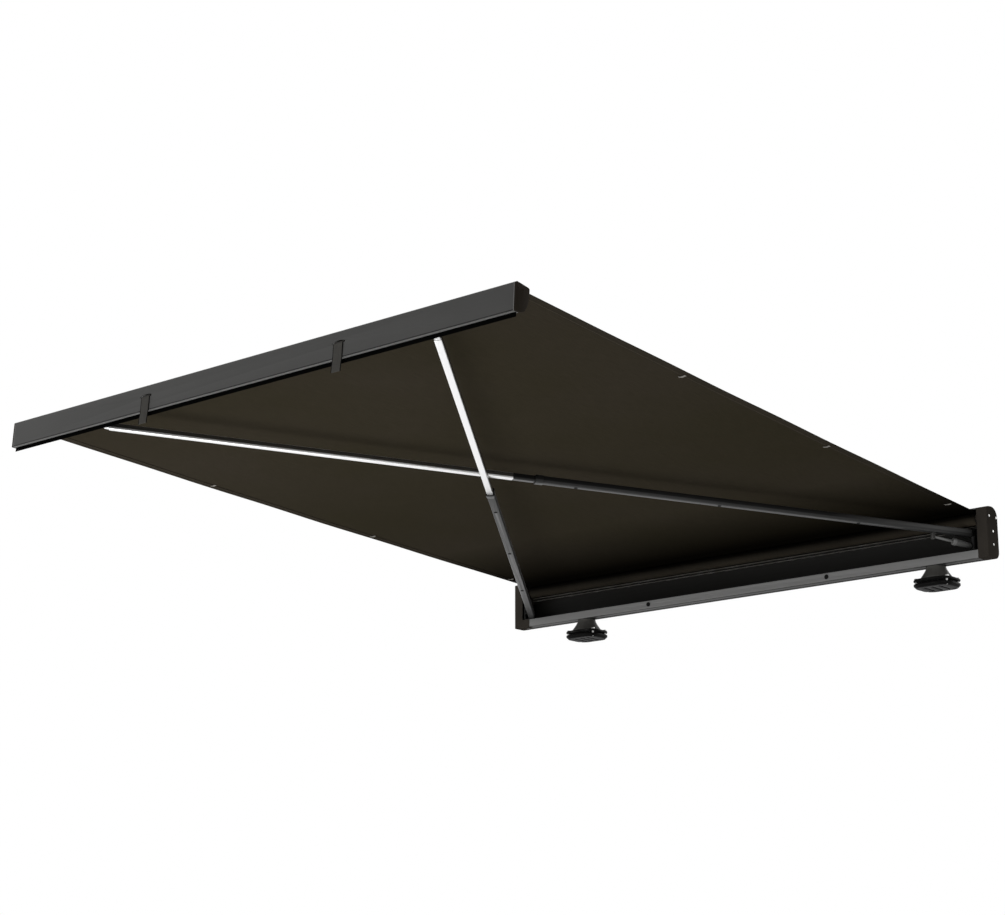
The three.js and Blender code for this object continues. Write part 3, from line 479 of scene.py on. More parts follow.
@dataclass(frozen=True)
class CoatedMetal(Finish):
    """Satin or textured coat over metal, rubbed along its edges."""

    grain_scale: float = 1400.0
    grain_depth: float = 0.02 * MM
    lines: float = 0.0
    line_density: float = 420.0
    wear: float = 0.35
    dust: float = 0.25
    dust_colour: Colour = (0.2, 0.19, 0.17)
    dust_rough: float = 0.2
    bare: Colour = (0.42, 0.42, 0.41)
    patch_tones: Point2 = (0.96, 1.04)
    line_tone: float = 1.8
    rough_spread: Point2 = (-0.06, 0.07)

    def dress(self, graph: Graph, shader: Node) -> None:
        """Wires grain, drawn lines, rubbed edges and dust.

        Args:
            graph: Graph of the material.
            shader: Its Principled BSDF.
        """
        place = self.place(graph)
        grain = GRAIN.place(graph, Vector=place, Scale=self.grain_scale)
        tone = self.tone(graph, place, grain["Patches"])
        height = grain["Height"]
        rough = self.rough(graph, height, NOISE_SPAN, self.rough_spread)
        if self.lines:
            lines = LINES.place(graph, Vector=place, Density=self.line_density)["Lines"]
            lines = graph.product(lines, self.lines)
            tone = self.shaded(graph, lines, tone, self.line_tone)
            height = graph.math("ADD", height, lines)
        dust = DUST.place(graph, Vector=place, Amount=self.dust)["Mask"]
        tone = graph.mix(dust, tone, self.dust_colour)
        edge = graph.node("Attribute", attribute_name=EDGE_MARK).outputs["Fac"]
        rubbed = WEAR.place(graph, Vector=place, Edge=edge, Amount=self.wear)["Mask"]
        tone = graph.mix(rubbed, tone, self.bare)
        rough = graph.math("ADD", rough, graph.product(dust, self.dust_rough))
        self.cover(graph, shader, tone, rough, height, self.grain_depth)

    def tone(self, graph: Graph, place: Socket, patches: Socket) -> Socket:
        """Colour of the coat before wear and dust, by its place and its slow patches."""
        return self.between(graph, patches, self.patch_tones)


@dataclass(frozen=True)
class HousingCoat(CoatedMetal):
    """Coat of the housing, with painted shade in its hollow and on its underside, a painted
    highlight on its ribs, and painted light on the lip under its opening.
    """

    # painted shade over the hollow of the housing
    inside: Colour = (0.0024, 0.002, 0.0012)
    # painted shade on the housing's underside
    under: Colour = (0.03, 0.0295, 0.0285)
    # painted highlight on the ribs in the housing's hollow
    rib: Colour = (0.085, 0.08, 0.07)
    # painted light on the lip under the opening
    lip: Colour = (0.225, 0.225, 0.222)
    lip_top: float = -61 * MM
    rib_face: float = -8.5 * MM
    rib_height: float = 29 * MM
    rib_half: float = 11 * MM
    skin: float = 1.3 * MM

    def tone(self, graph: Graph, place: Socket, patches: Socket) -> Socket:
        """Colour of the coat, by its place on the housing, with its painted light and shade.

        Args:
            graph: Graph of the material.
            place: Place on the object, in metres.
            patches: Slow patches of tone, from 0 to 1.

        Returns:
            The colour.
        """
        depth, height = graph.axis(place, "Y"), graph.axis(place, "Z")
        foot = -BACK_HEIGHT + self.skin
        front = graph.below(depth, -BACK_DEPTH + self.skin)
        behind = graph.below(depth, -self.skin)
        level = graph.below(graph.math("ABSOLUTE", height), BACK_HEIGHT - self.skin)
        within = graph.product(behind, level, graph.math("SUBTRACT", 1.0, front))
        low = graph.product(front, graph.below(height, self.lip_top), graph.over(height, foot))
        beside = graph.below(graph.away(height, self.rib_height), self.rib_half)
        proud = graph.product(graph.below(depth, self.rib_face), within, beside)
        tone = super().tone(graph, place, patches)
        # painted shade on the housing's underside
        tone = graph.mix(graph.below(height, foot), tone, self.under)
        # painted light on the lip under the opening
        tone = graph.mix(low, tone, self.lip)
        # painted shade over the hollow of the housing
        tone = graph.mix(within, tone, self.inside)
        # painted highlight on the ribs in the housing's hollow
        return graph.mix(proud, tone, self.rib)


@dataclass(frozen=True)
class RailCoat(CoatedMetal):
    """Coat of the lead rail, with painted shade along the foot of its face, and a painted highlight
    under its foot and at the ends of its face.
    """

    # painted shade along the foot of the face
    crease: Colour = (0.004, 0.004, 0.0039)
    # painted highlight under the foot and at the ends of the face
    bright: Colour = (0.16, 0.16, 0.156)
    crease_top: float = -79.4 * MM
    foot: float = -83.1 * MM
    face: float = 0.8 * MM
    end: float = 1057.4 * MM

    def tone(self, graph: Graph, place: Socket, patches: Socket) -> Socket:
        """Colour of the coat, by its place on the rail, with its painted shade and highlights.

        Args:
            graph: Graph of the material.
            place: Place on the object, in metres.
            patches: Slow patches of tone, from 0 to 1.

        Returns:
            The colour.
        """
        moved = graph.mapped(place, "Location", tuple(-seated(0.0, -REACH, RAIL_TOP)))
        turned = graph.mapped(moved, "Rotation", (SLIDE_ANGLE, 0.0, 0.0))
        across, depth, height = (graph.axis(turned, way) for way in "XYZ")
        front = graph.below(depth, self.face)
        low = graph.below(height, self.crease_top)
        ended = graph.over(graph.math("ABSOLUTE", across), self.end)
        tone = super().tone(graph, place, patches)
        # painted shade along the foot of the face
        tone = graph.mix(graph.product(front, low), tone, self.crease)
        # painted highlight at the ends of the face
        tone = graph.mix(graph.product(front, ended), tone, self.bright)
        # painted highlight under the foot
        return graph.mix(graph.below(height, self.foot), tone, self.bright)


@dataclass(frozen=True)
class Anodised(Finish):
    """Drawn and anodised aluminium tube. An arm's can have its upper upright sides painted in
    another tone, which is painted shade on most tubes and painted light on the left outer one, and
    maybe a band across it.
    """

    lie: Direction = ALONG_HOUSING
    streaks: float = 0.2
    line_density: float = 700.0
    grain_scale: float = 2200.0
    depth: float = 0.006 * MM
    # colour painted on the tube's upper upright sides: painted shade on the inner tubes and the
    # right outer tube, painted light on the left outer tube
    flank: Colour | None = None
    flank_low: float = 0.0
    # span along the arm over which painted light on the upright sides fades out from the root
    near: Point2 | None = None
    near_colour: Colour = (0.09, 0.09, 0.088)
    band: Point2 | None = None
    band_colour: Colour = (0.042, 0.042, 0.0415)
    # painted shade on the band's upright sides
    band_flank: Colour = (0.006, 0.006, 0.0058)
    patch_share: float = 0.2
    upright_span: Point2 = (0.3, 0.8)

    def dress(self, graph: Graph, shader: Node) -> None:
        """Wires fine drawn streaks, slow patches, an arm's band, and the painted light and shade on
        an arm's upright sides.

        Args:
            graph: Graph of the material.
            shader: Its Principled BSDF.
        """
        place = self.place(graph, self.lie)
        lines = LINES.place(graph, Vector=place, Density=self.line_density)["Lines"]
        grain = GRAIN.place(graph, Vector=place, Scale=self.grain_scale)
        darkest, lightest = 1.0 - self.streaks, 1.0 + self.streaks / 2
        tone = self.between(graph, lines, (darkest, lightest))
        patches = graph.product(grain["Patches"], self.patch_share)
        tone = self.shaded(graph, patches, tone, darkest)
        if self.band:
            start, end = self.band
            along = graph.axis(place, "X")
            share = graph.product(graph.over(along, start), graph.below(along, end))
            tone = graph.mix(share, tone, self.band_colour)
            bare = graph.product(graph.math("SUBTRACT", 1.0, share), self.metallic)
            graph.plug(shader.inputs["Metallic"], bare)
        # painted light and shade on the tube's upper upright sides
        if self.flank:
            flank = self.flank
            # painted shade on the band's upright sides
            if self.band:
                flank = graph.mix(share, flank, self.band_flank)
            # painted light on the upright sides near the arm's root
            if self.near:
                past = graph.remap(graph.axis(place, "X"), self.near)
                flank = graph.mix(past, self.near_colour, flank)
            span = (self.flank_low - MM, self.flank_low + MM)
            above = graph.remap(graph.axis(place, "Z"), span)
            facing = graph.math("ABSOLUTE", graph.upward())
            upright = graph.remap(facing, self.upright_span, FADING)
            tone = graph.mix(graph.product(above, upright), tone, flank)
        rough = self.rough(graph, lines, FULL, (-self.streaks / 4, self.streaks / 2))
        height = graph.math("ADD", lines, grain["Height"])
        self.cover(graph, shader, tone, rough, height, self.depth)


@dataclass(frozen=True)
class Moulding(Finish):
    """Moulded plastic or rubber with a fine leathery grain."""

    grain_scale: float = 1800.0
    grain_depth: float = 0.03 * MM
    dust: float = 0.3
    dust_colour: Colour = (0.17, 0.16, 0.145)
    patch_tones: Point2 = (0.85, 1.2)
    rough_spread: Point2 = (-0.08, 0.1)

    def dress(self, graph: Graph, shader: Node) -> None:
        """Wires grain, patches and dust.

        Args:
            graph: Graph of the material.
            shader: Its Principled BSDF.
        """
        place = self.place(graph)
        grain = GRAIN.place(graph, Vector=place, Scale=self.grain_scale)
        tone = self.between(graph, grain["Patches"], self.patch_tones)
        dust = DUST.place(graph, Vector=place, Amount=self.dust)["Mask"]
        tone = graph.mix(dust, tone, self.dust_colour)
        rough = self.rough(graph, grain["Height"], NOISE_SPAN, self.rough_spread)
        self.cover(graph, shader, tone, rough, grain["Height"], self.grain_depth)


@dataclass(frozen=True)
class Plated(Finish):
    """Zinc-plated or stainless hardware, with turning marks and slight stains."""

    grain_scale: float = 2600.0
    grain_depth: float = 0.01 * MM
    stain_scale: float = 160.0
    stain_span: Point2 = (0.4, 0.7)
    stain_tones: Point2 = (1.0, 0.7)
    rough_spread: Point2 = (0.0, 0.2)

    def dress(self, graph: Graph, shader: Node) -> None:
        """Wires marks and stains.

        Args:
            graph: Graph of the material.
            shader: Its Principled BSDF.
        """
        place = self.place(graph)
        grain = GRAIN.place(graph, Vector=place, Scale=self.grain_scale)
        stains = graph.noise(place, self.stain_scale, detail=4.0)
        stains = graph.remap(stains, self.stain_span)
        tone = self.between(graph, stains, self.stain_tones)
        rough = self.rough(graph, stains, FULL, self.rough_spread)
        self.cover(graph, shader, tone, rough, grain["Height"], self.grain_depth)


@dataclass(frozen=True)
class Cloth(Finish):
    """Woven cloth on a map in metres: the canopy's coated weave, or the straps' webbing."""

    pitch: float = 0.7 * MM
    depth: float = 0.12 * MM
    warm: Colour = (0.047, 0.0395, 0.029)
    warm_waves: float = 1.3
    warm_span: Point2 = (0.35, 0.65)
    yarn_share: float = 0.35
    yarn_tone: float = 0.6
    gap_share: float = 0.5
    # painted shade between the yarns of the weave
    gap_tone: float = 0.45
    rough_spread: Point2 = (0.06, -0.06)
    ribs: float = 0.0
    rib_depths: float = 1.5
    # painted shade along both edges of a strap
    selvedge: Point2 | None = None
    selvedge_tone: float = 0.12
    stitches: bool = False
    stitch_pitch: float = 3.6 * MM
    stitch_inset: float = 6 * MM
    stitch_half: Point2 = (0.4 * MM, 0.7 * MM)
    stitch_start_share: Point2 = (0.25, 0.3)
    stitch_depths: float = 2.0
    stitch_tone: float = 2.6
    # painted shadow on the cloth's underside near the roller
    soiled: Point2 | None = None
    soot_share: float = 0.96
    soot_tone: float = 0.05
    facing_down: Point2 = (-0.2, 0.2)
    # painted shade over the top of the wound cloth
    dark_over: Point2 | None = None
    dark_share: float = 0.92
    dark_tone: float = 0.1
    # painted light towards the roll's right end
    light_past: Point2 | None = None
    light_tone: float = 1.3

    def dress(self, graph: Graph, shader: Node) -> None:
        """Wires the weave, its uneven yarns, painted shade between them, broad changes of tone, and
        what else it has, painted light and shade among it.

        Args:
            graph: Graph of the material.
            shader: Its Principled BSDF.
        """
        cloth = graph.node("UVMap", uv_map=MAP_NAME).outputs[0]
        across, along = graph.axis(cloth, "X"), graph.axis(cloth, "Y")
        weave = WEAVE.place(graph, Vector=cloth, Pitch=self.pitch)
        height = weave["Height"]
        broad = graph.noise(cloth, self.warm_waves, detail=3.0)
        tone = graph.mix(graph.remap(broad, self.warm_span), self.colour, self.warm)
        yarns = graph.product(weave["Yarns"], self.yarn_share)
        tone = self.shaded(graph, yarns, tone, self.yarn_tone)
        # painted shade between the yarns
        gap_shade = graph.remap(height, (0.0, self.gap_share), (self.gap_share, 0.0))
        tone = self.shaded(graph, gap_shade, tone, self.gap_tone)
        if self.ribs:
            rib = graph.math("SINE", graph.product(along, 2 * math.pi / self.ribs))
            rib = graph.remap(rib, BOTH_WAYS, (0.0, self.rib_depths))
            height = graph.math("ADD", height, rib)
        # painted shade along the strap's edges
        if self.selvedge:
            middle, inner_half = self.selvedge
            outside = graph.over(graph.away(across, middle), inner_half)
            tone = self.shaded(graph, outside, tone, self.selvedge_tone)
        if self.stitches:
            run = graph.math("FRACT", graph.math("DIVIDE", along, self.stitch_pitch))
            thread = graph.remap(run, self.stitch_start_share)
            beside = graph.remap(graph.away(across, self.stitch_inset), self.stitch_half, FADING)
            line = graph.product(thread, beside)
            tone = graph.mix(line, tone, tinted(self.warm, self.stitch_tone))
            height = graph.math("ADD", height, graph.product(line, self.stitch_depths))
        # painted shadow on the underside near the roller
        if self.soiled:
            near = graph.remap(along, self.soiled, (self.soot_share, 0.0))
            downward = graph.remap(graph.upward(), self.facing_down, FADING)
            tone = self.shaded(graph, graph.product(near, downward), tone, self.soot_tone)
        # painted light towards the roll's right end
        if self.light_past:
            past = graph.remap(across, self.light_past)
            tone = graph.mix(past, tone, tinted(self.warm, self.light_tone))
        # painted shade over the top of the wound cloth
        if self.dark_over:
            raised = graph.axis(self.place(graph), "Z")
            over = graph.remap(raised, self.dark_over, (0.0, self.dark_share))
            tone = self.shaded(graph, over, tone, self.dark_tone)
        rough = self.rough(graph, weave["Height"], FULL, self.rough_spread)
        self.cover(graph, shader, tone, rough, height, self.depth)


# span from the roller over which the canopy and its hems get painted shadow on their undersides
ROLLER_SHADE_SPAN: Point2 = (0.06, 0.6)
RAIL_COAT = RailCoat(
    "rail_coat_aluminium", "grey_coat", (0.066, 0.0655, 0.0636), 0.5, specular=0.15, lines=0.02,
    grain_depth=0.01 * MM)
HOUSING_COAT = HousingCoat(
    "housing_coat_aluminium", "grey_coat", (0.06, 0.059, 0.057), 0.5, specular=0.1, lines=0.02,
    grain_depth=0.01 * MM, dust=0.12)
BLACK_COAT = CoatedMetal(
    "black_powder_coat", "black_coat", (0.012, 0.0118, 0.0113), 0.42, specular=0.1,
    grain_scale=900.0, grain_depth=0.05 * MM)
# a lighter copy of the black coat on the pedestals: painted light
LIT_FOOT_COAT = CoatedMetal(
    "foot_coat", "black_coat", (0.085, 0.083, 0.077), 0.45, specular=0.1, grain_scale=900.0)
# a darker copy of the black coat on the foot plates and clamps: painted shade under the feet
SHADED_CLAMP_COAT = CoatedMetal(
    "clamp_coat", "black_coat", (0.0045, 0.0044, 0.0042), 0.45, specular=0.03,
    grain_scale=900.0, wear=0.15)
LUG_COAT = CoatedMetal(
    "lug_coat", "black_coat", (0.05, 0.049, 0.047), 0.45, specular=0.1, grain_scale=900.0)
BLACK_PLASTIC = Moulding(
    "black_moulding", "black_plastic", (0.038, 0.0335, 0.0285), 0.5, specular=0.0)
STUD_PLASTIC = Moulding(
    "stud_moulding", "black_plastic", (0.007, 0.007, 0.0068), 0.55, specular=0.05)
RAIL_CAP = Moulding(
    "rail_cap_moulding", "black_plastic", (0.024, 0.02, 0.0155), 0.6, specular=0.01)
# the seal's near-black rubber also stands in for the shade under the rail's foot: partly painted
# shade
SEAL_RUBBER = Moulding("seal_rubber", "rubber", (0.0025, 0.0025, 0.0024), 0.8, specular=0.0)
RUBBER = Moulding(
    "pad_rubber", "rubber", (0.012, 0.012, 0.012), 0.75, specular=0.05, grain_scale=1200.0)
STEEL = Plated("plated_steel", "steel", (0.42, 0.42, 0.41), 0.32, metallic=1.0)
ROLLER_METAL = Anodised("roller_aluminium", "silver_tube", (0.5, 0.5, 0.5), 0.4, metallic=0.9)
BARREL_METAL = Anodised("strut_aluminium", "grey_tube", (0.16, 0.16, 0.156), 0.4, metallic=0.2)
CANOPY_CLOTH = Cloth(
    "canopy_weave", "canopy_cloth", (0.041, 0.035, 0.0225), 0.9, specular=0.0, soiled=ROLLER_SHADE_SPAN)
# the wound cloth's colour is a darker copy of the canopy cloth: painted shade; it also gets painted
# shade over its top and painted light towards its right end
WOUND_CLOTH = Cloth(
    "wound_cloth", "canopy_cloth", (0.02, 0.0175, 0.0135), 0.7, specular=0.02,
    dark_over=(37 * MM, 63 * MM), light_past=(0.72, 1.0))
HEM_CLOTH = Cloth(
    "hem_cloth", "canopy_cloth", (0.038, 0.033, 0.025), 0.9, specular=0.0, stitches=True,
    soiled=ROLLER_SHADE_SPAN)
LOOP_CLOTH = Cloth(
    "loop_webbing", "webbing", (0.3, 0.29, 0.27), 0.85, specular=0.0, pitch=0.9 * MM,
    warm=(0.34, 0.32, 0.29))
# the straps' webbing gets painted shade along both edges
WEBBING = Cloth(
    "strap_webbing", "webbing", (0.085, 0.082, 0.076), 0.8, specular=0.0, pitch=1.1 * MM,
    depth=0.2 * MM, warm=(0.092, 0.088, 0.08), ribs=2.2 * MM, selvedge=(19 * MM, 16.5 * MM))
# the inner tubes' upright sides are painted dark: painted shade
SILVER = {
    side: Anodised(
        f"{side.word}_inner_aluminium", "silver_tube", (0.98, 0.98, 0.98), 0.28, metallic=0.7,
        specular=0.2, lie=arm_axis(side), streaks=0.015, depth=0.0008 * MM,
        flank=(0.085, 0.08, 0.072), flank_low=across_arm(side, -4 * MM),
        band=along_arm(side, 1.57, 1.678) if side is Side.RIGHT else None)
    for side in Side
}
# each outer tube's colour, and the colour painted on its upright sides: painted light on the left
# tube, painted shade on the right one
GREY_TONES = {
    Side.LEFT: ((0.05, 0.05, 0.0495), (0.12, 0.12, 0.118)),
    Side.RIGHT: ((0.042, 0.042, 0.0415), (0.006, 0.006, 0.0058)),
}
# the outer tubes get painted light on their upright sides near the root
GREY_TUBE = {
    side: Anodised(
        f"{side.word}_outer_aluminium", "grey_tube", tone, 0.34, specular=0.2,
        lie=arm_axis(side), streaks=0.12, flank=flank, flank_low=across_arm(side, -3 * MM),
        near=along_arm(side, 0.15, 0.55))
    for side, (tone, flank) in GREY_TONES.items()
}
# the collars take the outer tubes' painted light and shade on their upright sides
COLLAR = {
    side: replace(
        GREY_TUBE[side], name=f"{side.word}_collar_moulding", slot="black_plastic",
        band=along_arm(side, 1.643, 1.66) if side is Side.LEFT else None,
        band_colour=(0.005, 0.005, 0.005))
    for side in Side
}


# Pieces


def added(name: str, data: bpy.types.ID) -> bpy.types.Object:
    """Puts a new object in the scene.

    Args:
        name: Name of the object.
        data: Its mesh, lamp or camera.

    Returns:
        The object.
    """
    made = bpy.data.objects.new(name, data)
    bpy.context.scene.collection.objects.link(made)
    return made


def shade(shape: bmesh.types.BMesh, sharp_from: float) -> None:
    """Shades a shape smooth, but for its sharp edges.

    Args:
        shape: Shape to shade.
        sharp_from: Angle in degrees from which an edge is sharp.
    """
    limit = math.radians(sharp_from)
    for face in shape.faces:
        face.smooth = True
    for edge in shape.edges:
        edge.smooth = len(edge.link_faces) == 2 and edge.calc_face_angle(0.0) < limit


def finished(
    name: str, shape: bmesh.types.BMesh, finish: Finish, body: str,
    replaced: Sequence[str] = (), sharp_from: float = SHARP_FROM,
) -> bpy.types.Object:
    """Turns a shape into a finished piece that rides on a body.

    Args:
        name: Name of the piece.
        shape: Its mesh, which is used up.
        finish: Its finish.
        body: Body that it rides on.
        replaced: Nodes that it stands for.
        sharp_from: Angle in degrees from which an edge is sharp.

    Returns:
        The new object.
    """
    shade(shape, sharp_from)
    mesh = bpy.data.meshes.new(name)
    shape.to_mesh(mesh)
    shape.free()
    made = added(name, mesh)
    mesh.materials.append(finish.material())
    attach(made, body)
    if replaced:
        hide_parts(*replaced)
    LOG.info("%s on %s: %d faces, %s", name, body, len(mesh.polygons), finish.name)
    return made


def body_of_node(node: str) -> str:
    """Body that a frame node belongs to."""
    bodies = frame["record"]["behaviour"]["bodies"]
    return next(body for body, nodes in bodies.items() if node in nodes)


def merged(node: str) -> bmesh.types.BMesh:
    """Copies a frame node's mesh and joins its flat faces.

    Args:
        node: Name of the node.

    Returns:
        The copy.
    """
    shape = bmesh.new()
    shape.from_mesh(frame["nodes"][node].data)
    bmesh.ops.remove_doubles(shape, verts=shape.verts, dist=MERGE_DISTANCE)
    bmesh.ops.dissolve_limit(
        shape, angle_limit=FLAT_BELOW, verts=shape.verts, edges=shape.edges)
    return shape


def refined(node: str, finish: Finish, edge: float, steps: int = 2) -> bpy.types.Object:
    """Copies a frame node, merges its faces, and rounds and marks its edges.

    Args:
        node: Name of the node.
        finish: Finish of the copy.
        edge: Radius that its edges get, in metres.
        steps: Faces across each rounded edge.

    Returns:
        The piece that stands for the node.
    """
    shape = merged(node)
    mark = shape.faces.layers.float.new(EDGE_MARK)
    sharp = [
        side for side in shape.edges
        if len(side.link_faces) == 2 and side.calc_face_angle(0.0) > math.radians(SHARP_FROM)
    ]
    rounded = bmesh.ops.bevel(
        shape, geom=sharp, offset=edge, segments=steps, profile=0.5, affect="EDGES",
        material=-1, clamp_overlap=True)
    for face in rounded["faces"]:
        face[mark] = 1.0
    return finished(f"{node}_finish", shape, finish, body_of_node(node), [node])


def proud_seats(node: str, proud: float) -> list[Seat]:
    """Seats of the round studs that stand lowest on a frame node.

    Args:
        node: Name of the node.
        proud: Height of the studs.

    Returns:
        The middle of each stud's foot, and its outward direction.
    """
    shape = merged(node)
    under = max(
        (face for face in shape.faces if face.normal.z < DOWNWARD),
        key=lambda face: face.calc_area())
    down = under.normal.copy()
    level = [
        face.calc_center_median() for face in shape.faces if face.normal.dot(down) > PARALLEL]
    lowest = max(middle.dot(down) for middle in level)
    shape.free()
    return [
        (middle - down * proud, down)
        for middle in level if lowest - middle.dot(down) < proud / 4]


def pulled(
    shape: bmesh.types.BMesh, faces: list[bmesh.types.BMFace], way: Direction, keep: bool
) -> list[bmesh.types.BMFace]:
    """Extrudes faces.

    Args:
        shape: Mesh that holds them.
        faces: Faces to extrude.
        way: How far they move.
        keep: Whether faces stay behind in their place.

    Returns:
        The moved faces.
    """
    drawn = bmesh.ops.extrude_face_region(shape, geom=faces, use_keep_orig=keep)["geom"]
    moved = [item for item in drawn if isinstance(item, bmesh.types.BMVert)]
    bmesh.ops.translate(shape, verts=moved, vec=way)
    return [item for item in drawn if isinstance(item, bmesh.types.BMFace)]


@dataclass
class HexScrew:
    """Button-head screw with a hexagon recess, built along +Z and turned to its seat."""

    radius: float = 4.6 * MM
    height: float = 2.0 * MM
    key: float = 1.7 * MM
    key_depth: float = 1.3 * MM
    crown_share: float = 0.45
    crown_steps: int = 3
    inset_share: float = 0.3
    steps: int = 24

    def head(self) -> bmesh.types.BMesh:
        """Shapes one head, with its seat at zero.

        Returns:
            The head.
        """
        shape = bmesh.new()
        bmesh.ops.create_circle(shape, segments=self.steps, radius=self.radius, cap_ends=True)
        top = pulled(shape, shape.faces[:], (0.0, 0.0, self.height), keep=True)
        bmesh.ops.bevel(
            shape, geom=top[0].edges[:], offset=self.height * self.crown_share,
            segments=self.crown_steps, profile=0.5, affect="EDGES", material=-1,
            clamp_overlap=True)
        lid = max(
            shape.faces, key=lambda face: (round(face.calc_center_median().z, 6), len(face.verts)))
        bmesh.ops.inset_region(shape, faces=[lid], thickness=self.key * self.inset_share)
        sixth = math.tau / 6
        for vert in lid.verts:
            angle = math.atan2(vert.co.y, vert.co.x)
            folded = (angle + sixth / 2) % sixth - sixth / 2
            reach = self.key / math.cos(folded)
            vert.co.x, vert.co.y = reach * math.cos(angle), reach * math.sin(angle)
        pulled(shape, [lid], (0.0, 0.0, -self.key_depth), keep=False)
        bmesh.ops.recalc_face_normals(shape, faces=shape.faces)
        return shape

    def set_of(self, name: str, seats: Iterable[Seat], finish: Finish, body: str) -> None:
        """Makes one piece of equal heads on their seats.

        Args:
            name: Name of the piece.
            seats: Place and outward direction of each head.
            finish: Finish of the heads.
            body: Body that they ride on.
        """
        pattern = self.head()
        master = bpy.data.meshes.new(f"{name}_pattern")
        pattern.to_mesh(master)
        pattern.free()
        together = bmesh.new()
        for place, outward in seats:
            start = len(together.verts)
            together.from_mesh(master)
            together.verts.ensure_lookup_table()
            turn = outward.to_track_quat("Z", "Y").to_matrix().to_4x4()
            bmesh.ops.transform(
                together, matrix=Matrix.Translation(place) @ turn, verts=together.verts[start:])
        bpy.data.meshes.remove(master)
        finished(name, together, finish, body)


